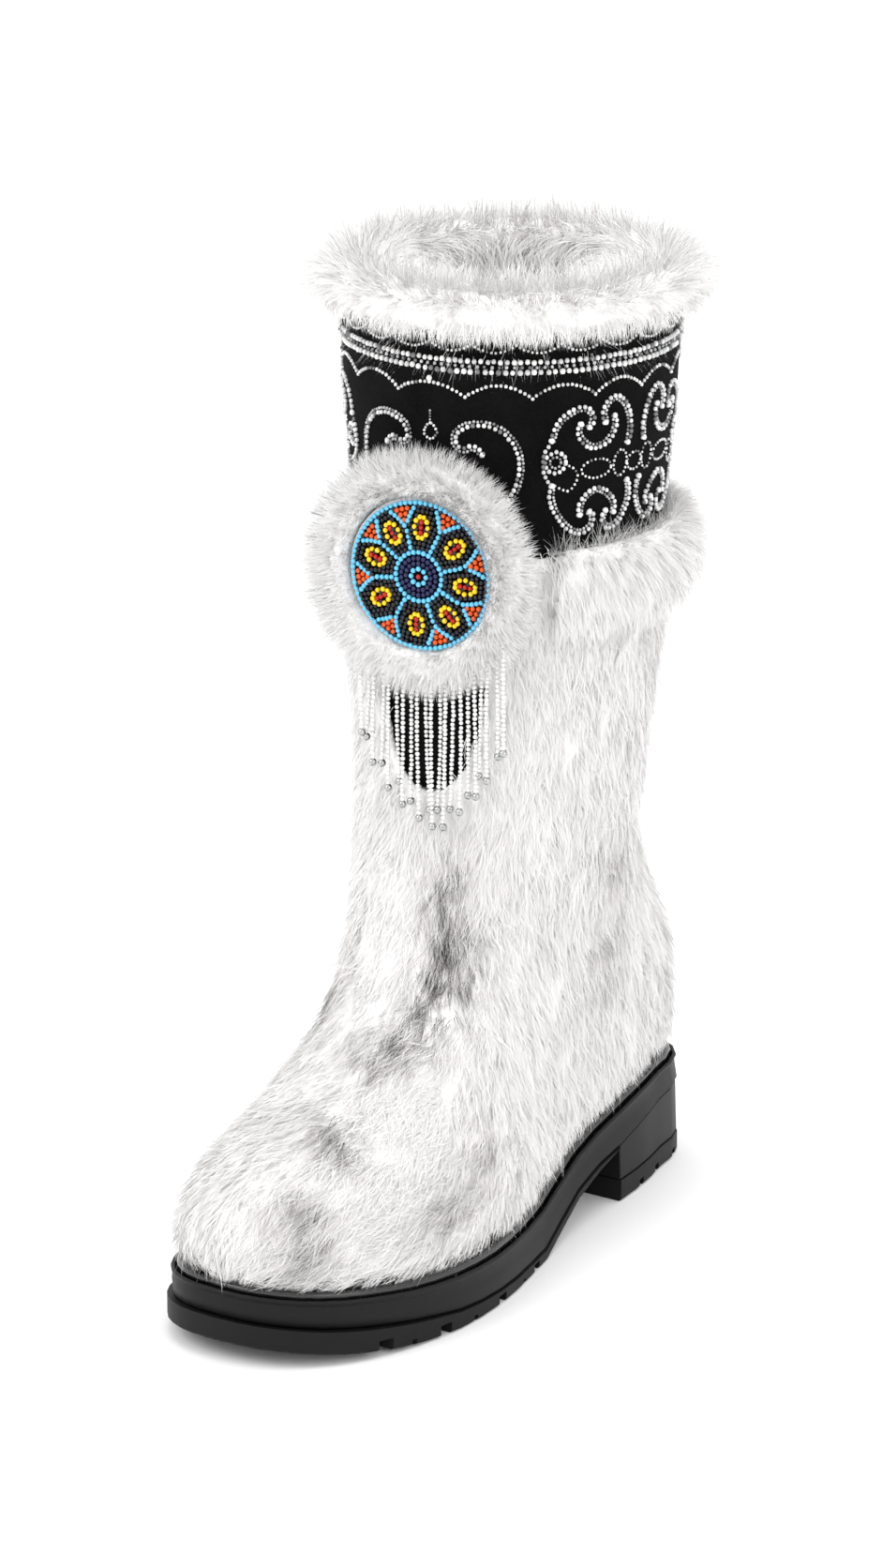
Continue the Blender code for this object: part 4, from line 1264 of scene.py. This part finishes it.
@dataclass
class SuedeBand:
    """The suede shaft with its silver beadwork."""

    low: float = 0.1845
    high: float = 0.3628
    wall: float = 0.0026
    axis: tuple = (-0.0044, -0.0490)
    lining_gap: float = 0.0004
    lining_thickness: float = 0.0008
    wrinkle: float = 0.00022
    jitter: float = 0.10
    lines: tuple = ((0.3513, BeadRow(0.00105, pitch=2.3)),
                    (0.34935, BeadRow(0.0007, Bead.CLEAR, 3.9)),
                    (0.3474, BeadRow(0.001113, pitch=2.3)))
    scallop: BeadRow = BeadRow(0.00072, pitch=2.45)
    scallop_height: float = 0.3375
    upper_scallop: BeadRow = BeadRow(0.00055, pitch=3.0)
    upper_scallop_height: float = 0.3578
    upper_scallop_width: int = 15
    side_middle: float = math.radians(76.2)
    side_height: float = 0.3086
    front_height: float = 0.309
    scroll: BeadRow = BeadRow(0.00090, pitch=2.3)
    scroll_side: float = 0.00055
    inner_scroll: BeadRow = BeadRow(0.00062, Bead.CLEAR, 2.4)
    inner_scroll_side: float = 0.00095
    scroll_end: float = 0.00115
    edge: BeadRow = BeadRow(0.00088)
    leaf: BeadRow = BeadRow(0.00056, pitch=3.1)
    oval: BeadRow = BeadRow(0.00054, pitch=3.2)
    eye: tuple = (-32.6, 4.0)
    eye_rings: tuple = ((4.0, BeadRow(0.00088)), (2.1, BeadRow(0.0006, Bead.CLEAR)))
    pendant: BeadRow = BeadRow(0.0006)
    pendant_thread: BeadRow = BeadRow(0.00045, Bead.CLEAR)
    lone_pearl: float = 0.0012

    def __post_init__(self) -> None:
        """Read the shaft's surface from its node."""
        rows = np.linspace(self.low + 0.001, self.high - 0.001, 26)
        self.surface = Wrap("suede_shaft", np.array(self.axis), rows)
        self.centres: list[Array] = []
        self.sizes: list[Array] = []
        self.colours: list[Array] = []

    @staticmethod
    def cells(low: float, high: float, rows: int, columns: int) -> tuple[Array, Array]:
        """Grid of heights and angles round the shaft."""
        turn = np.arange(columns) * FULL_TURN / columns
        return np.meshgrid(np.linspace(low, high, rows), turn, indexing="ij")

    def shell(self) -> bpy.types.Object:
        """The suede itself: a grid of angle by height, with a wall behind it.

        Returns:
            The piece, without its material.
        """
        rows, columns = 46, 144
        h, a = self.cells(self.low, self.high, rows, columns)
        wrinkle = self.wrinkle * ripple(self.surface.point(a, h).reshape(-1, 3), 0.05, 1.0)
        points = self.surface.point(a, h, wrinkle.reshape(a.shape) - 0.0001)
        piece = build("suede_band", points.reshape(-1, 3), grid_faces(rows, columns))
        wall = piece.modifiers.new("wall", "SOLIDIFY")
        wall.thickness = self.wall
        wall.offset = -1
        return piece

    def lining(self) -> bpy.types.Object:
        """Short pale lining inside the suede, as a grid of angle by height.

        Returns:
            The piece, without its material.
        """
        rows, columns = 14, 96
        h, a = self.cells(self.low + 0.002, self.high - 0.001, rows, columns)
        points = self.surface.point(a, h, -self.wall - self.lining_gap)
        piece = build("shaft_lining", points.reshape(-1, 3), grid_faces(rows, columns)[:, ::-1])
        cloth = piece.modifiers.new("cloth", "SOLIDIFY")
        cloth.thickness = self.lining_thickness
        cloth.offset = -1
        return piece

    def stitch(self, path: Array, middle: float, base: float, row: BeadRow,
               side: float = 0.0) -> None:
        """Sew one row of beads along a charted path.

        Args:
            path: degrees and millimetres from the figure's middle.
            middle: turn of the figure's middle from the front.
            base: height of its middle line.
            row: the beads.
            side: shift across the path, in metres.
        """
        scale = self.surface.radius(np.array([0.0]), np.array([base]))[0]
        flat = np.stack([np.radians(path[:, 0]) * scale, path[:, 1] * 0.001], -1)
        if side:
            slope = unit(np.gradient(flat, axis=0))
            flat = flat + np.stack([-slope[:, 1], slope[:, 0]], -1) * side
        spots = spaced(flat, row.size * row.pitch)
        rng = np.random.default_rng(len(self.centres) + 5)
        spots = spots + rng.normal(0, row.size * self.jitter, spots.shape)
        angle = FRONT_TURN + middle + spots[:, 0] / scale
        self.centres.append(self.surface.point(angle, base + spots[:, 1], row.size * 0.55))
        self.sizes.append(row.size * rng.uniform(0.92, 1.08, len(spots)))
        bright = self.mixed(rng, len(spots), {Bead.PEARL: 0.5, Bead.SILVER: 0.38, Bead.SHADE: 0.12})
        dim = self.mixed(rng, len(spots), {Bead.CLEAR: 0.45, Bead.SHADE: 0.35, Bead.SILVER: 0.2})
        self.colours.append(bright if row.colour is Bead.PEARL else dim)

    @staticmethod
    def mixed(rng: np.random.Generator, count: int, shares: dict[Bead, float]) -> Array:
        """Palette columns drawn at random by their shares."""
        return rng.choice([bead.value for bead in shares], count, p=tuple(shares.values()))

    def figure(self, rows: Sequence[Sequence[tuple]], middle: float, base: float,
               mirror: float) -> None:
        """Sew scrolls as a pearl row with a finer clear row beside it.

        Args:
            rows: the charted scrolls.
            middle: turn of the figure's middle from the front.
            base: height of its middle line.
            mirror: 1 as charted, or -1 for its other half.
        """
        for row in rows:
            path = rounded(row) * np.array([mirror, 1])
            turn = np.sign(np.cross(path[2] - path[0], path[-3] - path[2]))
            self.stitch(path, middle, base, self.scroll, -turn * self.scroll_side)
            self.stitch(path, middle, base, self.inner_scroll, turn * self.inner_scroll_side)
            for end in (path[0], path[-1]):
                self.pearl(end, middle, base, self.scroll_end)

    def pearl(self, spot: Array, middle: float, base: float, size: float) -> None:
        """Sew a single pearl.

        Args:
            spot: degrees and millimetres from the figure's middle.
            middle: turn of the figure's middle from the front.
            base: height of its middle line.
            size: radius of the pearl.
        """
        angle = FRONT_TURN + middle + np.radians(spot[:1])
        self.centres.append(self.surface.point(angle, base + spot[1:] * 0.001, size * 0.5))
        self.sizes.append(np.full(1, size))
        self.colours.append(np.full(1, Bead.PEARL.value))

    def side_figure(self, middle: float) -> None:
        """The oval figure of scrolls on one side of the leg.

        Args:
            middle: turn of its middle from the front.
        """
        base = self.side_height
        turn = np.linspace(0, FULL_TURN, 40, endpoint=False)
        for mirror in (1.0, -1.0):
            self.figure(SIDE_SCROLLS, middle, base, mirror)
            flip = np.array([mirror, 1.0])
            self.stitch(rounded(SIDE_EDGE) * flip, middle, base, self.edge)
            self.stitch(rounded(SIDE_LEAF) * flip, middle, base, self.leaf)
            x, y = self.eye
            for reach, row in self.eye_rings:
                ring = np.stack([x + reach * 0.92 * np.cos(turn), y + reach * np.sin(turn)], -1)
                self.stitch(ring * flip, middle, base, row)
            for x, y, wide, tall in SIDE_OVALS[: 3 if mirror > 0 else 2]:
                oval = np.stack([x + wide * np.cos(turn), y + tall * np.sin(turn)], -1)
                self.stitch(oval * flip, middle, base, self.oval)

    def bands(self) -> None:
        """The double line, and the scalloped lines below and above it."""
        all_round = np.stack([np.linspace(-180, 180, 361)[:-1], np.zeros(360)], -1)
        first, between, second = self.lines
        for height, row in (first, second, between):
            self.stitch(all_round, 0, height, row)
        stops = np.radians(SCALLOPS)
        t = np.linspace(0, 1, 20)
        half_arch = 4.6 * np.cos(t * math.pi / 2) ** 0.9
        arch = 4.9 * np.sin(t * math.pi) ** 0.85
        for sign in (1, -1):
            for left, right in zip(stops[:-1], stops[1:]):
                turn = np.degrees(left + (right - left) * t) * sign
                path = np.stack([turn, half_arch if left == 0 else arch], -1)
                self.stitch(path, 0, self.scallop_height, self.scallop)
        t = np.linspace(0, 1, 14)
        drop = -3.0 * np.sin(t * math.pi) ** 0.8
        for start in range(-180, 180, self.upper_scallop_width):
            path = np.stack([start + self.upper_scallop_width * t, drop], -1)
            self.stitch(path, 0, self.upper_scallop_height, self.upper_scallop)

    def beads(self) -> bpy.types.Object:
        """Sew everything and join the beads.

        Returns:
            The piece, without its material.
        """
        self.bands()
        for middle in (self.side_middle, -self.side_middle):
            self.side_figure(middle)
        base = self.front_height
        for middle in (0.0, math.pi):
            for mirror in (1.0, -1.0):
                self.figure(FRONT_HORN, middle, base, mirror)
            self.stitch(rounded(PENDANT, closed=True), middle, base, self.pendant)
            self.stitch(np.array(PENDANT_THREAD), middle, base, self.pendant_thread)
            self.pearl(np.array(LONE_PEARL), middle, base, self.lone_pearl)
        return string_beads("band_beads", *(
            np.concatenate(parts) for parts in (self.centres, self.sizes, self.colours)))

    def dress(self, suede: bpy.types.Material, beads: bpy.types.Material,
              cloth: bpy.types.Material) -> None:
        """Build the suede, its lining and its beadwork.

        Args:
            suede: finish of the shaft.
            beads: finish of the beads.
            cloth: finish of the lining.
        """
        settle(self.shell(), Slot.SUEDE, suede, "suede_shaft")
        settle(self.lining(), Slot.FUR, cloth)
        settle(self.beads(), Slot.PEARL, beads)


class Emblem:
    """The round emblem's own directions, read from the bead disc's node."""

    nudge_left = 0.0004
    nudge_up = 0.0023

    def __init__(self) -> None:
        """Fit a plane to the disc: its normal is the axis of least spread."""
        skin = NodeSkin("bead_disc")
        self.middle = (skin.points.min(0) + skin.points.max(0)) / 2
        axes = np.linalg.eigh(np.cov((skin.points - self.middle).T))[1]
        out = axes[:, 0] * (1 if axes[1, 0] < 0 else -1)
        self.out = unit(out * np.array([1, 1, 0]))
        self.right = np.cross(UP, self.out)
        local = skin.points - self.middle
        depth = local @ self.out
        reach = np.hypot(local @ self.right, local[:, 2])
        front = depth > np.median(depth)
        order = np.argsort(reach[front])
        self.reach = reach[front][order]
        self.dome = depth[front][order]
        self.back = float(depth.min())
        self.middle = self.middle - self.nudge_left * self.right + self.nudge_up * UP

    def point(self, right: Array, up: Array, out: Array | float) -> Array:
        """Point at distances right, up and out of the disc's middle."""
        right, up, out = np.broadcast_arrays(right, up, out)
        return (self.middle + right[..., None] * self.right + up[..., None] * UP
                + out[..., None] * self.out)

    def face(self, reach: Array) -> Array:
        """How far the disc's front lies out at a distance from its middle."""
        return np.interp(reach, self.reach, self.dome)


@dataclass
class MedallionRing(FurRoll):
    """Fur ring round the bead disc, combed outwards."""

    emblem: Emblem = field(kw_only=True)
    name: str = "fur_ring"
    node: str = "medallion_fur"
    radius: float = 0.0354
    rise: float = 0.0012
    aside: float = 0.0040
    half_width: float = 0.0070
    tall: float = 0.0060
    strands: int = 20000
    coat: Coat = Coat(length=0.0090, width=0.00026, segments=3, sky=0.4, seed=71)
    crest: float = 2.95
    sweep: tuple = (-0.7, 2.9)
    trim: tuple = ((-0.9, 0.95), (0.6, 1.0), (1.6, 0.85), (2.3, 0.5), (2.9, 0.30))
    stand: float = 0.62
    push: float = 0.55
    fall: float = 0.06

    def __post_init__(self) -> None:
        """Find the ring's place before the disc's middle from its node's box."""
        low, high = (np.array(corner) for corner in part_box(self.node))
        away = (low + high) / 2 - self.emblem.middle
        self.depth = float(away @ self.emblem.out) + self.rise
        self.shift = float(away @ self.emblem.right) - self.aside

    def centre(self, turn: Array) -> Array:
        """A circle in the emblem's plane: middle + radius times outward."""
        middle = self.emblem.point(self.shift + 0 * turn, 0 * turn, self.depth)
        return middle + self.radius * self.outward(turn)

    def outward(self, turn: Array) -> Array:
        """Directions in the emblem's plane, from the top towards its right."""
        return self.emblem.right * np.sin(turn)[:, None] + UP * np.cos(turn)[:, None]

    def upward(self, turn: Array) -> Array:
        """The way that the emblem faces."""
        return np.tile(self.emblem.out, (len(turn), 1))

    def drift(self) -> Array:
        """Out of the emblem's face, and a little down."""
        return self.push * self.emblem.out - self.fall * UP


@dataclass
class Rosette:
    """Bead embroidery of the disc: petals with flowers round a navy middle.

    Lengths are distances from the disc's middle or between beads, in metres, and turns
    run clockwise from the top.
    """

    emblem: Emblem
    bead: float = 0.00102
    flowers: tuple = (2, 50, 96, 139, 184, 238, 286, 324)
    rim: float = 0.0277
    rim_beads: int = 84
    rings: tuple = ((0.0030, Bead.SKY, 8), (0.0093, Bead.SKY, 28))
    navy_rings: tuple = ((0.0051, 16), (0.0070, 22))
    line_start: float = 0.0112
    line_end: float = 0.0186
    line_pitch: float = 0.00205
    fork_start: float = 0.0188
    fork_reach: float = 0.0068
    fork_turn: float = 0.19
    wedge: tuple = ((0.0216, (0.0,)), (0.0236, (-0.045, 0.045)), (0.0256, (-0.085, 0.0, 0.085)))
    flower_middle: float = 0.0186
    flower_long: float = 0.0040
    flower_wide: float = 0.0027
    flower_beads: int = 10
    seed_step: float = 0.0019
    seed_corner: float = 0.0007
    fill_start: float = 0.0110
    fill_step: float = 0.00172
    fill_pitch: float = 0.00178
    fill_stagger: float = 900
    felt: tuple = (0.0277, 0.0003)
    leather: tuple = (0.0295, 0.0010)

    def __post_init__(self) -> None:
        """Start with no beads."""
        self.spots = np.zeros((0, 2))
        self.colours: list[int] = []

    def add(self, spots: Array, colour: Bead, gap: float = 1.4) -> None:
        """Add beads that keep a distance of gap radii from those already there.

        Args:
            spots: flat coordinates of the beads.
            colour: theirs.
            gap: least distance from an earlier bead, in bead radii.
        """
        for spot in np.atleast_2d(spots):
            away = np.linalg.norm(self.spots - spot, axis=1)
            if len(away) == 0 or away.min() > gap * self.bead:
                self.spots = np.concatenate([self.spots, spot[None]])
                self.colours.append(colour.value)

    @staticmethod
    def polar(turn: Array | float, reach: Array | float) -> Array:
        """Flat coordinates from a turn clockwise from the top, and a distance."""
        turn, reach = np.broadcast_arrays(turn, reach)
        return np.stack([reach * np.sin(turn), reach * np.cos(turn)], -1)

    def circle(self, reach: float, colour: Bead, count: int, turn: float = 0.0) -> None:
        """A full ring of beads."""
        places = turn + np.arange(count) * FULL_TURN / count
        self.add(self.polar(places, reach), colour, 1.2)

    def fork(self, line: float) -> None:
        """The blue line between two petals, which forks round an orange wedge.

        Args:
            line: turn of the line.
        """
        reaches = np.arange(self.line_start, self.line_end, self.line_pitch)
        self.add(self.polar(line, reaches), Bead.SKY)
        t = np.linspace(0.12, 1, 5)
        for side in (-1, 1):
            turn = line + side * self.fork_turn * t
            self.add(self.polar(turn, self.fork_start + self.fork_reach * t), Bead.SKY)
        for reach, places in self.wedge:
            self.add(self.polar(line + np.array(places), reach), Bead.ORANGE)

    def flower(self, petal: float) -> None:
        """The yellow flower of one petal with its red middle.

        Args:
            petal: turn of the petal.
        """
        centre = self.polar(petal, self.flower_middle)
        radial = np.array([math.sin(petal), math.cos(petal)])
        across = np.array([radial[1], -radial[0]])
        a = (np.arange(self.flower_beads) + 0.5) * FULL_TURN / self.flower_beads
        ring = (centre + np.cos(a)[:, None] * radial * self.flower_long
                + np.sin(a)[:, None] * across * self.flower_wide)
        self.add(ring, Bead.YELLOW, 1.3)
        self.add(centre + np.array([[-1], [0], [1]]) * radial * self.seed_step, Bead.RED, 1.2)
        corners = np.array([[-1, -1], [1, 1], [-1, 1], [1, -1]]) * self.seed_corner
        self.add(centre + corners, Bead.RED, 1.5)

    def pattern(self) -> None:
        """Lay the lines and flowers first, then fill the petals with rings."""
        turns = np.radians(self.flowers)
        lines = (turns + np.append(turns[1:], turns[0] + FULL_TURN)) / 2
        self.add(np.zeros((1, 2)), Bead.RED)
        for reach, colour, count in self.rings:
            self.circle(reach, colour, count)
        self.circle(self.rim, Bead.SKY, self.rim_beads)
        for petal, line in zip(turns, lines):
            self.fork(line)
            self.flower(petal)
        for reach, count in self.navy_rings:
            self.circle(reach, Bead.NAVY, count)
        for reach in np.arange(self.fill_start, self.rim - 0.0012, self.fill_step):
            count = int(FULL_TURN * reach / self.fill_pitch)
            self.circle(reach, Bead.NIGHT, count, reach * self.fill_stagger)

    def disc(self, name: str, radius: float, drop: float) -> bpy.types.Object:
        """Disc under the beads: rings of points from a flat back to a domed front.

        Args:
            name: the piece's name.
            radius: of the disc.
            drop: how far its front lies below the bead disc's.

        Returns:
            The piece, without its material.
        """
        share = np.array([0.003, 0.986, 1.0, 1.0, 0.98, 0.90, 0.72, 0.48, 0.24, 0.003])
        reach = share * radius
        top = self.emblem.face(np.minimum(reach, self.rim)) - drop
        out = np.where(np.arange(len(reach)) < 3, self.emblem.back, top)
        out[3] = top[3] - 0.0006
        columns = 72
        turn = np.arange(columns) * FULL_TURN / columns
        ring, angle = np.meshgrid(np.arange(len(reach)), turn, indexing="ij")
        flat = self.polar(angle, reach[ring])
        points = self.emblem.point(flat[..., 0], flat[..., 1], out[ring])
        return build(name, points.reshape(-1, 3), grid_faces(len(reach), columns))

    def beads(self) -> bpy.types.Object:
        """The pattern's beads, seated on the disc's domed front.

        Returns:
            The piece, without its material.
        """
        self.pattern()
        reach = np.linalg.norm(self.spots, axis=1)
        rng = np.random.default_rng(31)
        out = self.emblem.face(reach) + self.bead * 0.25 + rng.normal(0, 0.00007, len(reach))
        centres = self.emblem.point(self.spots[:, 0], self.spots[:, 1], out)
        radii = self.bead * rng.uniform(0.94, 1.06, len(reach))
        colours = np.array(self.colours)
        radii[colours == Bead.NIGHT.value] *= 0.93
        return string_beads("rosette_beads", centres, radii, colours, segments=8)

    def dress(self, glass: bpy.types.Material, felt: bpy.types.Material,
              leather: bpy.types.Material) -> None:
        """Build the discs and the beads on their front.

        Args:
            glass: finish of the beads.
            felt: finish of the disc under them.
            leather: finish of the disc behind.
        """
        settle(self.disc("felt_disc", *self.felt), Slot.NAVY, felt, "bead_disc")
        settle(self.disc("leather_disc", *self.leather), Slot.LEATHER, leather)
        settle(self.beads(), Slot.NAVY, glass)


@dataclass
class Fringe:
    """Strings of white seed beads with a silver ball at each end.

    The strings hang in two rows, from the arc of the header down to a curve that rises
    by side_lift towards both sides.
    """

    emblem: Emblem
    strings: int = 21
    half: float = 0.0290
    shift: float = 0.0047
    header: float = 0.0428
    header_drop: float = 0.004
    low: float = 0.1705
    side_lift: float = 0.034
    row_lift: float = 0.0055
    row_gap: float = 0.0005
    uneven: float = 0.004
    bead: float = 0.00088
    pitch: float = 1.88
    flat: float = 0.92
    ball: float = 0.00155

    def depth(self) -> float:
        """How far the strings hang before the emblem's middle, from their node's box.

        Returns:
            A distance in metres.
        """
        low, high = (np.array(corner)[:2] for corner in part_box("fringe"))
        plan = self.emblem.out[:2]
        return float((low + high) / 2 @ plan - self.emblem.middle[:2] @ plan)

    def hang(self, number: int, depth: float, rng: np.random.Generator) -> tuple[Array, Array]:
        """Places of one string's beads and of its ball.

        Args:
            number: of the string, from the inner side.
            depth: of the strings before the emblem's middle.
            rng: random numbers of the whole fringe.

        Returns:
            A row for each bead, and the ball's middle.
        """
        part = 2 * number / (self.strings - 1) - 1
        behind = number % 2
        right = self.shift + self.half * part
        top = -math.sqrt(max(self.header ** 2 - right ** 2, 0)) + self.header_drop
        loose = (rng.uniform(0, self.uneven) + self.row_lift * behind) * (1 - 0.4 * abs(part))
        lift = self.side_lift * abs(part) ** 1.6 + loose
        end = self.low + lift + self.ball * 2 - self.emblem.middle[2]
        lean = rng.normal(0, 0.0009)
        bow = rng.normal(0, 0.0004)
        t = np.linspace(0, 1, int((top - end) / (self.bead * self.pitch)))
        x = right + lean * t ** 1.5 + bow * np.sin(t * math.pi)
        y = top + (end - top) * t
        out = depth + self.row_gap * (1 - 2 * behind) + 0 * t
        ball = self.emblem.point(x[-1], y[-1] - self.ball * 1.3, out[-1])
        return self.emblem.point(x, y, out), ball

    def dress(self, glass: bpy.types.Material, silver: bpy.types.Material) -> None:
        """Hang the strings and their balls.

        Args:
            glass: finish of the beads.
            silver: finish of the balls.
        """
        rng = np.random.default_rng(41)
        depth = self.depth()
        strings, balls = zip(*(self.hang(k, depth, rng) for k in range(self.strings)))
        spots = np.concatenate(strings)
        spots = spots + rng.normal(0, 0.00007, spots.shape)
        radii = self.bead * rng.uniform(0.9, 1.08, len(spots))
        white = np.full(len(spots), Bead.PEARL.value)
        axes = np.tile(UP, (len(spots), 1))
        beads = string_beads("fringe_beads", spots, radii, white, axes, self.flat)
        settle(beads, Slot.PEARL, glass, "fringe")
        drops = string_beads("fringe_balls", np.array(balls), np.full(self.strings, self.ball),
                             np.full(self.strings, Bead.CLEAR.value), segments=14, rings=9)
        settle(drops, Slot.PEARL, silver)


@dataclass
class Sole:
    """Rubber sole, heel, welt and insole: the frame's own solids with real finishes."""

    middle: tuple = (0.0, -0.10)
    stitch_pitch: float = 0.0046
    stitch_inset: float = 0.0014
    stitch_rise: float = 0.0003
    stitch_size: float = 0.00055
    stitch_length: float = 2.9
    sharp_angle: float = 32.0
    bevel_angle: float = 40.0
    edge_round: float = 0.0005

    def solid(self, name: str, slot: Slot, material: bpy.types.Material) -> None:
        """Merge a node's triangles, smooth its curves and break its sharp edges.

        Args:
            name: the CAD node that it stands for.
            slot: the record's material slot.
            material: its finish.
        """
        skin = NodeSkin(name)
        piece = build(name + "_body", skin.points, skin.faces)
        piece.data.set_sharp_from_angle(angle=math.radians(self.sharp_angle))
        edge = piece.modifiers.new("edge", "BEVEL")
        edge.width = self.edge_round
        edge.segments = 2
        edge.limit_method = "ANGLE"
        edge.angle_limit = math.radians(self.bevel_angle)
        edge.harden_normals = True
        settle(piece, slot, material, name)

    def stitches(self) -> bpy.types.Object:
        """Lock stitches round the welt, each a thread pressed into a small hump.

        Returns:
            The piece, without its material.
        """
        turns = np.linspace(0, FULL_TURN, 720, endpoint=False)
        edge = NodeSkin("welt").outline(self.middle, turns)
        inward = unit(np.array([*self.middle, 0]) - edge * np.array([1, 1, 0]))
        path = edge + inward * self.stitch_inset
        spots = spaced(path, self.stitch_pitch, closed=True)
        axes = unit(np.roll(spots, -1, axis=0) - np.roll(spots, 1, axis=0))
        spots[:, 2] += self.stitch_rise
        return string_beads("welt_stitches", spots, np.full(len(spots), self.stitch_size),
                            np.full(len(spots), Bead.NIGHT.value), axes, self.stitch_length)

    def dress(self) -> None:
        """Give every solid of the sole its material, and sew the welt."""
        rubber = RubberFinish().make()
        tread = RubberFinish("tread_rubber", 0.56, 0.003).make()
        for name in ("outsole", "heel_lift"):
            self.solid(name, Slot.RUBBER, tread)
        for name in ("heel_block", "midsole"):
            self.solid(name, Slot.RUBBER, rubber)
        self.solid("welt", Slot.WELT, WeltFinish().make())
        board = LeatherFinish("felt_board", (0.5, 0.45, 0.4), (0.66, 0.6, 0.55)).make()
        finish(board, "insole")
        thread = RubberFinish("welt_thread", 0.40, 0.008).make()
        settle(self.stitches(), Slot.WELT, thread)


@dataclass(frozen=True)
class Lamp:
    """One soft square light: its place, what it faces, its side and its power."""

    name: str
    place: tuple
    target: tuple
    size: float
    power: float


@dataclass
class Studio:
    """Pale floor, soft lights and the photograph's camera."""

    place: tuple = (1.2781, -2.0167, 0.9502)
    azimuth: float = 33.73
    elevation: float = 18.4
    lens: float = 149.0
    sensor: float = 36.0
    floor_reach: float = 8.0
    floor_tone: float = 0.93
    sky: float = 1.19
    lamps: tuple = (
        Lamp("key", (-0.9, -1.6, 1.7), (0, -0.1, 0.15), 1.2, 16),
        Lamp("side", (1.9, -0.6, 1.1), (0, -0.1, 0.15), 1.2, 9),
        Lamp("top", (0.1, 0.1, 2.2), (0, -0.1, 0.2), 1.6, 12),
    )

    def place_item(self, name: str, data: bpy.types.ID, place: tuple,
                   turn: Sequence[float]) -> None:
        """Put a lamp or the camera in the scene.

        Args:
            name: the item's name.
            data: the lamp's or the camera's own data.
            place: where it stands.
            turn: its rotation.
        """
        item = bpy.data.objects.new(name, data)
        item.location = place
        item.rotation_euler = turn
        bpy.context.scene.collection.objects.link(item)

    def floor(self) -> None:
        """A plain pale floor."""
        corners = np.array([(-1, -1, 0), (1, -1, 0), (1, 1, 0), (-1, 1, 0)]) * self.floor_reach
        floor = build("floor", corners, np.array([(0, 1, 2), (0, 2, 3)]))
        colour = (self.floor_tone, self.floor_tone, self.floor_tone, 1)
        floor.data.materials.append(Tree("pale_floor").close(Base_Color=colour, Roughness=0.8))

    def light(self, lamp: Lamp) -> None:
        """One soft area light that faces its target.

        Args:
            lamp: its place, target, size and power.
        """
        data = bpy.data.lights.new(lamp.name, "AREA")
        data.size = lamp.size
        data.energy = lamp.power
        way = Vector(lamp.target) - Vector(lamp.place)
        self.place_item(lamp.name, data, lamp.place, way.to_track_quat("-Z", "Y").to_euler())

    def camera(self) -> None:
        """The photograph's camera."""
        data = bpy.data.cameras.new("camera")
        data.sensor_fit = "VERTICAL"
        data.sensor_height = self.sensor
        data.lens = self.lens
        turn = (math.radians(90 - self.elevation), 0, math.radians(self.azimuth))
        self.place_item("camera", data, self.place, turn)
        bpy.context.scene.camera = bpy.data.objects["camera"]

    def build(self) -> None:
        """Set up the whole studio."""
        self.floor()
        world = bpy.data.worlds.new("studio")
        world.use_nodes = True
        back = world.node_tree.nodes["Background"]
        back.inputs["Color"].default_value = (1, 1, 1, 1)
        back.inputs["Strength"].default_value = self.sky
        bpy.context.scene.world = world
        for lamp in self.lamps:
            self.light(lamp)
        self.camera()
        bpy.context.scene.view_settings.view_transform = "Standard"


def main() -> None:
    """Build the boot, piece by piece."""
    logging.basicConfig(level=logging.INFO, format="%(name)s %(message)s")
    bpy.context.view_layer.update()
    Studio().build()
    fur = FurFinish().make()
    hide = HideFinish().make()
    beads = BeadFinish().make()
    leather = LeatherFinish().make()
    Sole().dress()
    FurredUpper().dress(hide, fur)
    SuedeBand().dress(SuedeFinish().make(), beads, hide)
    Collar().dress(hide, fur)
    Cuff().dress(hide, fur)
    emblem = Emblem()
    MedallionRing(emblem=emblem).dress(hide, fur)
    Rosette(emblem).dress(beads, SuedeFinish("disc_felt").make(), leather)
    Fringe(emblem).dress(beads, SilverFinish().make())
    finish(leather, "medallion_backing")


if __name__ == "__main__":
    main()
